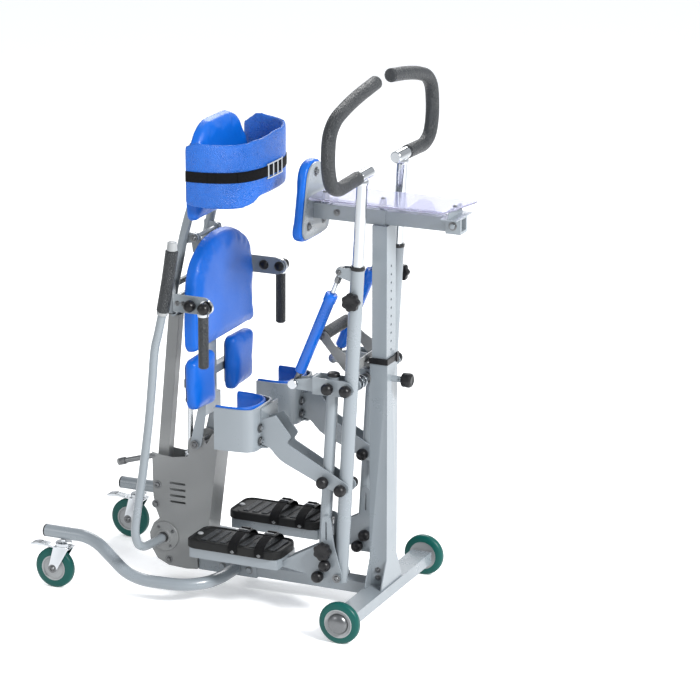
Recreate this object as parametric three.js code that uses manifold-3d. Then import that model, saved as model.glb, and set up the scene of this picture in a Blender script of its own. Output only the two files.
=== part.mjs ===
// Sit-to-stand lift with gliding foot plates. Millimetres, +Z up, +X forward, +Y the user's left.
import * as THREE from "three";
import { mergeVertices } from "three/addons/utils/BufferGeometryUtils.js";
import Module from "manifold-3d";

const wasm = await Module();
wasm.setup();

// Driving dimensions. X is measured from the column axis until the last step shifts the group.
const WHEEL_R = 63.5;
const TRACK_Y = 319;
const UNIT_Y = 144;
const UNIT_TILT = 0.0561;
const PIVOT_TOP = [-40, 728];
const PIVOT_KNEE = [-57.2, 421];
const PIVOT_FOOT = [-73, 141.5];
const LINK_GAP = 58;
const PLATE_IN = 23;
const PLATE_OUT = 28;
const SEAT_PIVOT = [-600, 450];
const LINK_PIVOT = [-735, 300];
const BACK_PIVOT = [-580, 1105];
const BACK_LUG = [-682, 850];
const HUB = [-711, 137];
const LEVER_Y = -318;
const ARM_Y = 242;
const CASTER = [-984, 246];
const SWIVEL_X = -953;
const LEG_Z = 178;
const TRAY_Z = 1262;
const JACK_FOOT = [-650, 74];
const JACK_HEAD = [-638, 575];
const DAMPER_FOOT = [-219, 722];
const DAMPER_HEAD = [-71, 1077];

const FINISH = {
  frame: { color: 0xd9dde0, roughness: 0.45, metalness: 0.1 },
  grey: { color: 0x9a9a98, roughness: 0.5, metalness: 0.2 },
  chrome: { color: 0xc9ccd0, roughness: 0.15, metalness: 1 },
  foam: { color: 0x3b4042, roughness: 0.9, metalness: 0 },
  vinyl: { color: 0x1f6be8, roughness: 0.5, metalness: 0 },
  blue: { color: 0x1a6ef0, roughness: 0.4, metalness: 0.1 },
  tyre: { color: 0x0f6b5e, roughness: 0.7, metalness: 0 },
  black: { color: 0x1b1b1c, roughness: 0.6, metalness: 0 },
  rubber: { color: 0x2a2b2c, roughness: 0.9, metalness: 0 },
  clear: { color: 0xe8eaff, roughness: 0.1, metalness: 0 },
};

// ---- solids -------------------------------------------------------------------------------

function solid(geometry) {
  const bare = geometry.index ? geometry.toNonIndexed() : geometry.clone();
  bare.deleteAttribute("normal");
  bare.deleteAttribute("uv");
  const merged = mergeVertices(bare, 1e-4);
  return new wasm.Manifold(
    new wasm.Mesh({
      numProp: 3,
      vertProperties: new Float32Array(merged.attributes.position.array),
      triVerts: new Uint32Array(merged.index.array),
    }),
  );
}

function join(...parts) {
  return parts.reduce((whole, part) => whole.add(part));
}

function cut(whole, ...tools) {
  return tools.reduce((left, tool) => left.subtract(tool), whole);
}

function toGeometry(manifold) {
  const mesh = manifold.getMesh();
  const geometry = new THREE.BufferGeometry();
  geometry.setAttribute("position", new THREE.BufferAttribute(mesh.vertProperties.slice(), 3));
  geometry.setIndex(new THREE.BufferAttribute(new Uint32Array(mesh.triVerts), 1));
  return geometry;
}

function box(x0, x1, y0, y1, z0, z1) {
  const geometry = new THREE.BoxGeometry(x1 - x0, y1 - y0, z1 - z0);
  geometry.translate((x0 + x1) / 2, (y0 + y1) / 2, (z0 + z1) / 2);
  return solid(geometry);
}

function rod(a, b, radius, segments = 8) {
  const from = new THREE.Vector3(...a);
  const to = new THREE.Vector3(...b);
  const along = to.clone().sub(from);
  const geometry = new THREE.CylinderGeometry(radius, radius, along.length(), segments);
  geometry.applyQuaternion(
    new THREE.Quaternion().setFromUnitVectors(new THREE.Vector3(0, 1, 0), along.clone().normalize()),
  );
  geometry.translate(...from.add(to).multiplyScalar(0.5).toArray());
  return solid(geometry);
}

function rodY(x, z, y0, y1, radius, segments = 8) {
  return rod([x, y0, z], [x, y1, z], radius, segments);
}

// An outline with each corner rounded by the third number of its point, or by radius.
function outline(points, radius = 0, steps = 2) {
  const shape = new THREE.Shape();
  const count = points.length;
  points.forEach((point, index) => {
    const here = new THREE.Vector2(point[0], point[1]);
    const before = new THREE.Vector2(...points[(index + count - 1) % count].slice(0, 2)).sub(here);
    const after = new THREE.Vector2(...points[(index + 1) % count].slice(0, 2)).sub(here);
    const wanted = point[2] ?? radius;
    const reach = Math.min(wanted, before.length() * 0.49, after.length() * 0.49);
    const start = here.clone().add(before.setLength(reach || 1e-9));
    const end = here.clone().add(after.setLength(reach || 1e-9));
    if (reach < 0.01) {
      index ? shape.lineTo(here.x, here.y) : shape.moveTo(here.x, here.y);
      return;
    }
    index ? shape.lineTo(start.x, start.y) : shape.moveTo(start.x, start.y);
    for (let step = 1; step <= steps; step++) {
      const t = step / steps;
      const first = start.clone().lerp(here, t);
      const second = here.clone().lerp(end, t);
      const at = first.lerp(second, t);
      shape.lineTo(at.x, at.y);
    }
  });
  return shape;
}

function slab(shape, depth) {
  return new THREE.ExtrudeGeometry(shape, { depth, bevelEnabled: false, curveSegments: 6 });
}

// A plate standing in the XZ plane between y0 and y1.
function plateXZ(points, y0, y1, radius = 0, steps = 2) {
  const geometry = slab(outline(points, radius, steps), y1 - y0);
  geometry.rotateX(Math.PI / 2);
  geometry.translate(0, y1, 0);
  return solid(geometry);
}

// A plate standing in the YZ plane between x0 and x1.
function plateYZ(points, x0, x1, radius = 0, steps = 2) {
  const geometry = slab(outline(points, radius, steps), x1 - x0);
  geometry.applyMatrix4(new THREE.Matrix4().set(0, 0, 1, x0, 1, 0, 0, 0, 0, 1, 0, 0, 0, 0, 0, 1));
  return solid(geometry);
}

// A plate lying in the XY plane between z0 and z1.
function plateXY(points, z0, z1, radius = 0, steps = 2) {
  const geometry = slab(outline(points, radius, steps), z1 - z0);
  geometry.translate(0, 0, z0);
  return solid(geometry);
}

function circle(radius, segments) {
  const shape = new THREE.Shape();
  for (let index = 0; index < segments; index++) {
    const angle = (2 * Math.PI * index) / segments;
    const at = [radius * Math.cos(angle), radius * Math.sin(angle)];
    index ? shape.lineTo(...at) : shape.moveTo(...at);
  }
  return shape;
}

// A round bar or, with a bore, a tube bent through the points.
function bent(points, radius, steps, { bore = 0, segments = 8 } = {}) {
  const path = new THREE.CatmullRomCurve3(
    points.map((point) => new THREE.Vector3(...point)),
    false,
    "centripetal",
  );
  const shape = circle(radius, segments);
  if (bore) shape.holes.push(circle(bore, 5));
  return solid(new THREE.ExtrudeGeometry(shape, { steps, extrudePath: path, bevelEnabled: false }));
}

// Turns a profile of [radius, height] about the Y axis and stands it at x, z with its base at y.
function turned(profile, x, y, z, { segments = 20, flip = false } = {}) {
  const points = profile.map(([radius, height]) => new THREE.Vector2(radius, height));
  const geometry = new THREE.LatheGeometry(points, segments);
  if (flip) geometry.rotateX(Math.PI);
  geometry.translate(x, y, z);
  const made = solid(geometry);
  return made.volume() < 0 ? solid(turnOver(geometry)) : made;
}

function turnOver(geometry) {
  const index = geometry.index.array;
  for (let at = 0; at < index.length; at += 3) [index[at], index[at + 1]] = [index[at + 1], index[at]];
  return geometry;
}

// A ball-shaped clamping knob whose stem starts on a plate face at y and points along side.
function ballKnob(x, z, y, side) {
  const profile = [
    [0, -1],
    [9, -1],
    [17, 12],
    [15, 26],
    [0, 33],
  ];
  return turned(profile, x, y, z, { segments: 6, flip: side < 0 });
}

// A lobed hand knob on the outer face of a post.
function starKnob(x, z, y, side) {
  const shape = new THREE.Shape();
  for (let index = 0; index < 14; index++) {
    const angle = (2 * Math.PI * index) / 14;
    const radius = 24 + 2.6 * Math.cos(7 * angle);
    const at = [x + radius * Math.cos(angle), z + radius * Math.sin(angle)];
    index ? shape.lineTo(...at) : shape.moveTo(...at);
  }
  const near = y + side * 7;
  const far = y + side * 26;
  const geometry = slab(shape, Math.abs(far - near));
  geometry.rotateX(Math.PI / 2);
  geometry.translate(0, Math.max(near, far), 0);
  return join(solid(geometry), rodY(x, z, Math.min(y - side, near + side), Math.max(y - side, near + side), 9, 12));
}

function postX(z) {
  return PIVOT_FOOT[0] + UNIT_TILT * (z - PIVOT_FOOT[1]);
}

// ---- base ---------------------------------------------------------------------------------

function frontCrossbar() {
  const bar = cut(box(-33, 33, -297, 297, 45.5, 81.5), box(-30, 30, -294, 294, 48.5, 78.5));
  const drained = cut(bar, rodY(0, 63.5, -150, -140, 4), box(-6, 6, -200, -190, 44, 50));
  const stub = rodY(0, WHEEL_R, 295, 326, 8, 20);
  return join(drained, stub, rodY(0, WHEEL_R, -326, -295, 8, 20));
}

function baseBeam() {
  const beam = box(-570, -33.4, -30, 30, 45.5, 81.5);
  const sleeve = box(-601, -405, -34, 34, 41.5, 85.5);
  const bolts = [-520, -430].map((x) => rodY(x, 64, -40, -33, 9, 10));
  return cut(join(beam, sleeve, ...bolts), box(-602, -32, -27, 27, 48.5, 78.5));
}

function gusset(x, side) {
  return plateYZ(
    [
      [side * 37, 81.9],
      [side * 76, 81.9],
      [side * 72, 96],
      [side * 37, 168],
    ],
    x,
    x + 4,
  );
}

function columnOuter() {
  const tube = cut(box(-28, 28, -38, 38, 81.8, 774), box(-24.2, 24.2, -33.7, 33.7, 81, 775));
  const bushing = cut(rod([27, 0, 725], [50, 0, 725], 9.5, 12), rod([20, 0, 725], [51, 0, 725], 5.2, 10));
  const fins = [gusset(-28, -1), gusset(24, -1), gusset(-28, 1), gusset(24, 1)];
  const bored = cut(join(tube, ...fins), rod([20, 0, 725], [30, 0, 725], 5.2, 10));
  return join(bored, bushing);
}

function columnCollar() {
  const ring = cut(box(-30, 30, -40, 40, 774.3, 792), box(-24.2, 24.2, -33.9, 33.9, 774, 793));
  return join(ring, box(29, 34, 22, 36, 770, 800));
}

function pivotShaft() {
  const [x, z] = PIVOT_TOP;
  const saddle = box(x - 26, -28.3, -30, 30, z - 24, z + 24);
  const rings = [68, 92].flatMap((y) => [rodY(x, z, y, y + 7, 20), rodY(x, z, -y - 7, -y, 20)]);
  return join(rodY(x, z, -115.5, 115.5, 11.5), saddle, ...rings);
}

function rollerBracket() {
  const arm = (y) =>
    plateXZ(
      [
        [-176, 862, 16],
        [-144, 876, 16],
        [-118, 832, 20],
        [-50, 792, 10],
        [-50, 758, 6],
        [-84, 758, 6],
      ],
      y - 2.5,
      y + 2.5,
    );
  const web = box(-56, -50, -94.5, 94.5, 760, 790);
  const foot = box(-51, -28.3, -30, 30, 762, 773);
  const axle = rodY(-157, 858, -94.5, 94.5, 7);
  return join(arm(-92), arm(92), web, foot, axle);
}

function rollerGrip() {
  return cut(rodY(-157, 858, -88, 88, 18.5, 18), rodY(-157, 858, -90, 90, 7.4));
}

function rearLeg(side) {
  const centre = [
    [-478, 35.4, 63],
    [-479, 70, 63],
    [-484, 122, 63],
    [-506, 182, 63],
    [-556, 224, 63],
    [-620, 238, 64],
    [-690, 243, 67],
    [-740, 246, 84],
    [-790, 246, 124],
    [-835, 246, 161],
    [-880, 246, 177],
    [-930, 246, LEG_Z],
    [-1012, 246, LEG_Z],
  ];
  const tube = bent(
    centre.map(([x, y, z]) => [x, side * y, z]),
    19,
    17,
    { bore: 15.5, segments: 10 },
  );
  return tube;
}

const TOWER_EDGE = [
  [-752, 404],
  [-728, 398],
  [-682, 394],
  [-636, 402],
  [-606, 418],
  [-583, 434],
  [-562, 458],
  [-546, 488],
  [-522, 488],
  [-532, 420],
  [-563, 180],
  [-571, 86],
  [-602, 86],
  [-602, 44],
  [-640, 40],
  [-700, 43],
  [-738, 60],
  [-760, 94],
  [-764, 140],
  [-750, 174],
  [-730, 192],
  [-742, 222],
  [-750, 262],
];

const TOWER_POCKET = [
  [-780, 620],
  [-526, 620],
  [-526, 486],
  [-536, 420],
  [-567, 181],
  [-575.5, 90],
  [-606, 90],
  [-606, 47.5],
  [-640, 44],
  [-699, 47],
  [-735, 63],
  [-756, 95],
  [-760, 139],
  [-746, 172],
  [-726, 191],
  [-780, 300],
];

function towerHousing() {
  const shell = cut(plateXZ(TOWER_EDGE, -42, 42), plateXZ(TOWER_POCKET, -38.5, 38.5));
  const slots = [248, 268, 288, 308].map((z) => box(-692, -640, -60, 60, z, z + 7));
  const drive = cut(rodY(...HUB, -39, -33, 30), rodY(...HUB, -43, -30, 11.4));
  const valve = join(
    rod([-742, -35, 392], [-846, -44, 362], 8, 12),
    rod([-846, -44, 362], [-866, -46, 356], 11, 12),
  );
  const pins = [rodY(...LINK_PIVOT, -40, 40, 6), rodY(...SEAT_PIVOT, -56, 56, 7)];
  const ears = [-1, 1].map((side) =>
    plateXZ(
      [
        [-628, 400],
        [-560, 440],
        [-576, 470, 20],
        [-600, 478, 20],
        [-626, 466, 20],
      ],
      Math.min(side * 38, side * 42),
      Math.max(side * 38, side * 42),
    ),
  );
  const jackFoot = box(-662, -638, -12, 12, 43, 62);
  const bolts = [
    [-742, 236],
    [-700, 62],
  ].map(([x, z]) => rodY(x, z, -48, -41, 8, 10));
  const whole = join(shell, drive, valve, ...pins, ...ears, jackFoot, ...bolts);
  return cut(whole, ...slots, rodY(...HUB, -60, -30, 11.4));
}

function hubFlange() {
  const [x, z] = HUB;
  const disc = join(rodY(x, z, -47.5, -42.3, 46, 18), rodY(x, z, -56, -47, 24, 10));
  return cut(disc, rodY(x, z, -60, -40, 11.4));
}

function linkBox(side) {
  const [x, z] = PIVOT_TOP;
  const edge = [
    [x - 112, z - 26, 6],
    [x + 4, z - 24, 22],
    [x + 26, z, 22],
    [x + 4, z + 24, 22],
    [x - 112, z + 26, 6],
  ];
  const plate = (y0, y1) => plateXZ(edge, y0, y1);
  const web = box(x - 112, x - 107, -PLATE_OUT, PLATE_OUT, z - 26, z + 26);
  const lug = (y0, y1) =>
    plateXZ(
      [
        [x - 108, z - 22],
        [x - 108, z + 20],
        [DAMPER_FOOT[0] + 4, DAMPER_FOOT[1] + 15, 14],
        [DAMPER_FOOT[0] - 16, DAMPER_FOOT[1], 14],
        [DAMPER_FOOT[0] + 4, DAMPER_FOOT[1] - 15, 14],
      ],
      y0,
      y1,
    );
  const pins = [rodY(x, z, -26, 26, 6), rodY(x - LINK_GAP, z, -26, 26, 6), rodY(...DAMPER_FOOT, -18, 18, 5)];
  const knobs = [-1, 1].flatMap((face) =>
    [x, x - LINK_GAP].map((at) => ballKnob(at, z, face * PLATE_OUT, face)),
  );
  const body = join(
    plate(PLATE_IN, PLATE_OUT),
    plate(-PLATE_OUT, -PLATE_IN),
    web,
    lug(12, 16),
    lug(-16, -12),
    ...pins,
    knobs[side < 0 ? 0 : 2],
    knobs[side < 0 ? 1 : 3],
    knobs[side < 0 ? 3 : 1],
  );
  return body.translate(0, side * UNIT_Y, 0);
}

// ---- mast ---------------------------------------------------------------------------------

function columnInner() {
  const tube = cut(box(-23.5, 23.5, -33, 33, 420, 1192), box(-20.5, 20.5, -30, 30, 419, 1188));
  const holes = Array.from({ length: 12 }, (_, index) => {
    const z = 788 + index * 25.4;
    return rod([15, 0, z], [30, 0, z], 4.5, 6);
  });
  return cut(tube, ...holes, rod([15, 0, 725], [30, 0, 725], 5.4, 10));
}

function trayBeam() {
  const rear = box(-216, 14, -23, 23, 1192.3, 1238);
  const front = box(13, 204, -20, 20, 1195, 1236);
  const end = box(203, 250, -25, 25, 1190, 1240);
  const bored = cut(
    join(rear, front, end),
    box(-213, 251, -17, 17, 1198, 1233),
  );
  const rib = (x, width, y) =>
    plateYZ(
      [
        [-y, 1237.5],
        [y, 1237.5],
        [y * 0.8, 1261.6],
        [-y * 0.8, 1261.6],
      ],
      x,
      x + width,
    );
  const tops = [
    box(-206, -160, -30, 30, 1236, 1240),
    box(200, 252, -60, 60, 1237, 1240.5),
    rib(-190, 4, 28),
    rib(-6, 4, 24),
    rib(220, 4, 56),
  ];
  return join(bored, ...tops, rodY(226, 1214, -31, -24, 8, 10));
}

function trayTop() {
  const sheet = plateXY(
    [
      [-206, -88, 14],
      [222, -88, 14],
      [262, 88, 14],
      [-206, 88, 14],
    ],
    TRAY_Z,
    TRAY_Z + 6,
  );
  return sheet;
}

const CHEST = [
  [-108, 1128, 46],
  [108, 1128, 46],
  [52, 1362, 50],
  [-52, 1362, 50],
];

function chestPlate() {
  const inset = CHEST.map(([y, z, r]) => [y * 0.92, 1245 + (z - 1245) * 0.94, r]);
  const plate = plateYZ(inset, -221.5, -216.4, 0, 4);
  const heads = [
    [0, 1326],
    [-52, 1172],
    [52, 1172],
  ].map(([y, z]) => rod([-217, y, z], [-211, y, z], 9, 10));
  return join(plate, ...heads);
}

function chestPad() {
  return plateYZ(CHEST, -258, -221.9, 0, 5);
}

function indexKnob() {
  const profile = [
    [0, 0],
    [4.6, 0],
    [4.6, 27],
    [9, 27],
    [9, 33],
    [20, 38],
    [22, 48],
    [22, 60],
    [17, 68],
    [0, 68],
  ];
  const geometry = new THREE.LatheGeometry(
    profile.map(([r, h]) => new THREE.Vector2(r, h)),
    18,
  );
  geometry.rotateZ(-Math.PI / 2);
  geometry.translate(24, 0, 725);
  return solid(geometry);
}

// ---- wheels -------------------------------------------------------------------------------

function frontWheel(side) {
  const profile = [
    [0, 30],
    [8.4, 30],
    [8.4, 0],
    [54, 3],
    [WHEEL_R, 9],
    [WHEEL_R, 23],
    [54, 29],
    [31, 28],
    [28, 38],
    [0, 45],
  ];
  return turned(profile, 0, side * 299.5, WHEEL_R, { segments: 22, flip: side < 0 });
}

function casterFork(side) {
  const y = side * CASTER[1];
  const plate = (y0, y1) =>
    plateXZ(
      [
        [SWIVEL_X - 26, 135],
        [SWIVEL_X + 26, 135],
        [CASTER[0] + 14, WHEEL_R - 4, 8],
        [CASTER[0], WHEEL_R - 14, 8],
        [CASTER[0] - 14, WHEEL_R, 8],
      ],
      y + y0,
      y + y1,
    );
  const crown = box(SWIVEL_X - 26, SWIVEL_X + 26, y - 21, y + 21, 131, 135);
  const race = rod([SWIVEL_X, y, 134], [SWIVEL_X, y, 149], 25, 18);
  const stem = rod([SWIVEL_X, y, 148], [SWIVEL_X, y, 158.4], 8, 12);
  const axle = rodY(CASTER[0], WHEEL_R, y - 23, y + 23, 6);
  return join(plate(17.5, 21), plate(-21, -17.5), crown, race, stem, axle);
}

function casterWheel(side) {
  const profile = [
    [6.5, -15],
    [54, -14],
    [WHEEL_R, -8],
    [WHEEL_R, 8],
    [54, 14],
    [6.5, 15],
    [6.5, -15],
  ];
  return turned(profile, CASTER[0], side * CASTER[1], WHEEL_R, { segments: 20 });
}

function casterBrake(side) {
  const y = side * CASTER[1];
  return plateXZ(
    [
      [-981.5, 128],
      [-981.5, 134],
      [-1040, 140],
      [-1062, 134, 2],
      [-1060, 129],
      [-1020, 131],
    ],
    y - 14,
    y + 14,
  );
}

// ---- gliding units ------------------------------------------------------------------------

// Everything on a unit is drawn about y = 0 and moved out to its own side.
function post(z0, z1, radius, offset = 0, segments = 10) {
  return rod([postX(z0) + offset, 0, z0], [postX(z1) + offset, 0, z1], radius, segments);
}

function leverPost(side) {
  const tube = cut(post(122, 1094, 20.5), post(705, 1100, 17.1));
  const hole = ([x, z]) => rodY(x, z, -24, 24, 7);
  const seatBlock = cut(post(700, 760, 18), hole(PIVOT_TOP));
  const lug = (y0, y1) =>
    plateXZ(
      [
        [postX(1060) - 14, 1052],
        [postX(1090) - 14, 1092],
        [DAMPER_HEAD[0] - 6, DAMPER_HEAD[1] + 13, 12],
        [DAMPER_HEAD[0] - 15, DAMPER_HEAD[1], 12],
        [DAMPER_HEAD[0] - 6, DAMPER_HEAD[1] - 13, 12],
      ],
      y0,
      y1,
    );
  const lugs = cut(join(lug(11, 16), lug(-16, -11)), post(1000, 1110, 17.1));
  const knob = cut(starKnob(postX(998), 998, side * 20, side), post(900, 1100, 17.1));
  const body = join(cut(tube, ...[PIVOT_TOP, PIVOT_KNEE, PIVOT_FOOT].map(hole)), seatBlock, lugs, knob);
  return body.translate(0, side * UNIT_Y, 0);
}

function linkTube(side) {
  const tube = cut(post(124, 760, 17.5, -LINK_GAP), post(100, 700, 15, -LINK_GAP, 12));
  const cap = post(759, 768, 19, -LINK_GAP);
  const blocks = [PIVOT_KNEE[1] + 17, PIVOT_FOOT[1]].map((z) =>
    cut(post(z - 16, z + 16, 16, -LINK_GAP, 12), post(z - 20, z + 20, 5, -LINK_GAP, 6)),
  );
  const hole = (x, z, radius = 7) => rodY(x, z, -24, 24, radius);
  const body = cut(
    join(tube, cap, ...blocks),
    hole(PIVOT_TOP[0] - LINK_GAP, PIVOT_TOP[1]),
    hole(PIVOT_KNEE[0] - LINK_GAP + 1, PIVOT_KNEE[1] + 17, 9.9),
    hole(PIVOT_FOOT[0] - LINK_GAP, PIVOT_FOOT[1]),
  );
  return body.translate(0, side * UNIT_Y, 0);
}

// The bent chrome tube of one handle, told as [distance from mid-plane, height].
const GRIP_PATH = [
  [172, 1367],
  [250, 1364],
  [310, 1364],
  [352, 1384],
  [371, 1425],
  [374, 1480],
  [363, 1530],
  [330, 1563],
  [270, 1584],
  [180, 1603],
  [50, 1621],
];

function handleTube(side) {
  const top = 1350;
  const stem = post(960, top, 16.6);
  const cross = rod([postX(top), -UNIT_Y + 92, 1368], [postX(top), 172.2 - UNIT_Y, 1367], 17.6, 16);
  const neck = post(top - 1, 1366, 16.6);
  const flared = join(stem, neck, cross);
  const placed = side > 0 ? flared : flared.mirror([0, 1, 0]);
  return placed.translate(0, side * UNIT_Y, 0);
}

function handleGrip(side) {
  const points = [[173.6, 1367], ...GRIP_PATH.slice(1)].map(([y, z]) => [
    postX(1350) - 0.012 * (y - 172),
    side * y,
    z,
  ]);
  return bent(points, 20.5, 17, { segments: 10 });
}

function kneeBracket(side) {
  const [x, z] = PIVOT_KNEE;
  const arm = (y0, y1) =>
    plateXZ(
      [
        [x + 20, z + 14, 12],
        [x + 22, z - 8, 12],
        [x, z - 22, 14],
        [-126, 426],
        [-262, 484, 30],
        [-292, 520, 20],
        [-318, 524],
        [-318, 600],
        [-272, 620],
        [-222, 560, 8],
        [-238, 538, 8],
      ],
      y0,
      y1,
    );
  const flange = box(-322.5, -317, -PLATE_OUT, 86, 512, 634);
  const cup = cut(
    plateXY(
      [
        [-446, -86],
        [-396, -86, 70],
        [-322, -78, 60],
        [-322, 78, 60],
        [-396, 86, 70],
        [-446, 86],
      ],
      510,
      640,
      0,
      4,
    ),
    plateXY(
      [
        [-450, -80],
        [-395, -80, 66],
        [-328, -73, 56],
        [-328, 73, 56],
        [-395, 80, 66],
        [-450, 80],
      ],
      505,
      645,
      0,
      4,
    ),
  );
  const pins = [rodY(x, z, -26, 26, 6), rodY(x - LINK_GAP + 1, z + 17, -26, 26, 6)];
  const knobs = [
    [x, z],
    [x - LINK_GAP + 1, z + 17],
  ].flatMap(([a, b]) => [ballKnob(a, b, -PLATE_OUT, -1), ballKnob(a, b, PLATE_OUT, 1)]);
  const heads = [538, 578].map((h) => rod([-318, -34, h], [-311, -34, h], 8, 10));
  const tie = box(-322, -300, -PLATE_OUT, PLATE_OUT, 514, 519);
  const body = join(
    arm(PLATE_IN, PLATE_OUT),
    arm(-PLATE_OUT, -PLATE_IN),
    cut(flange, box(-330, -300, -10, 90, 560, 590)),
    cup,
    tie,
    ...pins,
    ...knobs,
    ...heads,
  );
  return body.translate(0, side * UNIT_Y, 0);
}

function kneePad(side) {
  const pad = cut(
    plateXY(
      [
        [-450, -79.6],
        [-395, -79.6, 66],
        [-328.4, -72.6, 56],
        [-328.4, 72.6, 56],
        [-395, 79.6, 66],
        [-450, 79.6],
      ],
      516,
      648,
      0,
      4,
    ),
    plateXY(
      [
        [-460, -66],
        [-392, -66, 56],
        [-342, -60, 46],
        [-342, 60, 46],
        [-392, 66, 56],
        [-460, 66],
      ],
      510,
      660,
      0,
      4,
    ),
  );
  return pad.translate(0, side * UNIT_Y, 0);
}

function footFrame(side) {
  const [x, z] = PIVOT_FOOT;
  const tray = cut(
    plateXY(
      [
        [-546, -66, 8],
        [-252, -66, 8],
        [-252, 66, 8],
        [-546, 66, 8],
      ],
      150,
      180,
    ),
    box(-543, -255, -63, 63, 149, 176),
  );
  const hanger = (y0, y1) =>
    plateXZ(
      [
        [-266, 152],
        [-238, 178],
        [-128, 240],
        [-122, 330, 14],
        [-96, 330, 14],
        [-84, 240, 10],
        [x + 16, z + 4, 12],
        [x, z - 18, 12],
        [x - LINK_GAP - 4, z - 20, 16],
        [-158, 138, 10],
      ],
      y0,
      y1,
    );
  const slot = box(-112, -106, -90, 90, 256, 312);
  const tie = box(-262, -240, -PLATE_OUT, PLATE_OUT, 152, 158);
  const pins = [rodY(x, z, -26, 26, 6), rodY(x - LINK_GAP, z, -26, 26, 6)];
  const knobs = [
    [x - LINK_GAP, z],
    [-107, 180],
  ].flatMap(([a, b]) => [ballKnob(a, b, -PLATE_OUT, -1), ballKnob(a, b, PLATE_OUT, 1)]);
  const outer = starKnob(-113, 224, side * PLATE_OUT, side);
  const body = join(
    tray,
    cut(join(hanger(PLATE_IN, PLATE_OUT), hanger(-PLATE_OUT, -PLATE_IN)), slot),
    tie,
    ...pins,
    ...knobs,
    outer,
    rodY(x, z, PLATE_IN, PLATE_OUT + 6, 11, 12),
    rodY(x, z, -PLATE_OUT - 6, -PLATE_IN, 11, 12),
  );
  return body.translate(0, side * UNIT_Y, 0);
}

function footPad(side) {
  const pad = plateXY(
    [
      [-556, -56, 16],
      [-536, -72, 16],
      [-266, -72, 26],
      [-246, -46, 26],
      [-246, 46, 26],
      [-266, 72, 26],
      [-536, 72, 16],
      [-556, 56, 16],
    ],
    180.4,
    204,
  );
  return pad.translate(0, side * UNIT_Y, 0);
}

function alongDamper(t) {
  return [
    DAMPER_FOOT[0] + t * (DAMPER_HEAD[0] - DAMPER_FOOT[0]),
    0,
    DAMPER_FOOT[1] + t * (DAMPER_HEAD[1] - DAMPER_FOOT[1]),
  ];
}

function damperCylinder(side) {
  const tube = join(rod(alongDamper(0.1), alongDamper(0.73), 17, 12), rod(alongDamper(0.72), alongDamper(0.8), 19, 12));
  const eye = join(rodY(...DAMPER_FOOT, -10, 10, 13, 10), rod(alongDamper(0.02), alongDamper(0.12), 9));
  const hole = rodY(...DAMPER_FOOT, -12, 12, 5.6);
  const body = cut(join(tube, eye), hole, rod(alongDamper(0.3), alongDamper(0.85), 8.1));
  return body.translate(0, side * UNIT_Y, 0);
}

function damperRod(side) {
  const stem = rod(alongDamper(0.42), alongDamper(0.97), 6.5, 12);
  const eye = rodY(...DAMPER_HEAD, -10, 10, 14);
  return join(stem, eye).translate(0, side * UNIT_Y, 0);
}

// ---- seat ---------------------------------------------------------------------------------

function seatFrame() {
  const [px, pz] = SEAT_PIVOT;
  const cheeks = [-1, 1].map((side) =>
    plateXZ(
      [
        [px - 18, pz - 6, 14],
        [px, pz - 20, 14],
        [px + 20, pz - 6, 14],
        [-562, 560],
        [-590, 560],
      ],
      Math.min(side * 46, side * 51),
      Math.max(side * 46, side * 51),
    ),
  );
  const yoke = box(-590, -562, -51, 51, 545, 600);
  const spine = box(-590, -562, -26, 26, 590, 1070);
  const rails = [660, 900].map((z) => box(-584, -560, -150, 150, z, z + 26));
  const head = box(-586, -562, -68, 68, 1058, 1076);
  const ears = [-1, 1].map((side) =>
    plateXZ(
      [
        [-590, 1058],
        [-562, 1058],
        [-564, 1112, 12],
        [-580, 1121, 12],
        [-596, 1112, 12],
      ],
      Math.min(side * 62, side * 68),
      Math.max(side * 62, side * 68),
    ),
  );
  const lugs = [-1, 1].map((side) =>
    plateXZ(
      [
        [-586, 598],
        [-586, 550],
        [JACK_HEAD[0] + 4, JACK_HEAD[1] - 15, 10],
        [JACK_HEAD[0] - 14, JACK_HEAD[1], 10],
        [JACK_HEAD[0] + 4, JACK_HEAD[1] + 15, 10],
      ],
      Math.min(side * 14, side * 19),
      Math.max(side * 14, side * 19),
    ),
  );
  const shaft = rodY(...BACK_PIVOT, -81, 81, 7);
  const raw = join(yoke, spine, ...rails, head, ...cheeks, ...ears, ...lugs, shaft);
  return cut(raw, rodY(px, pz, -60, 60, 8));
}

function pelvisPad() {
  const edge = [
    [-205, 782, 26],
    [205, 782, 26],
    [209, 960, 60],
    [186, 1052, 70],
    [86, 1117, 80],
    [-86, 1117, 80],
    [-186, 1052, 70],
    [-209, 960, 60],
  ];
  return plateYZ(edge, -559.6, -511, 0, 4);
}

function thighPad(side) {
  const edge = [
    [58, 596, 22],
    [196, 606, 22],
    [206, 760, 22],
    [58, 766, 22],
  ].map(([y, z, r]) => [side * y, z, r]);
  const flat = plateYZ(side > 0 ? edge : edge.reverse(), -559.6, -515, 0, 4);
  return flat;
}

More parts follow.
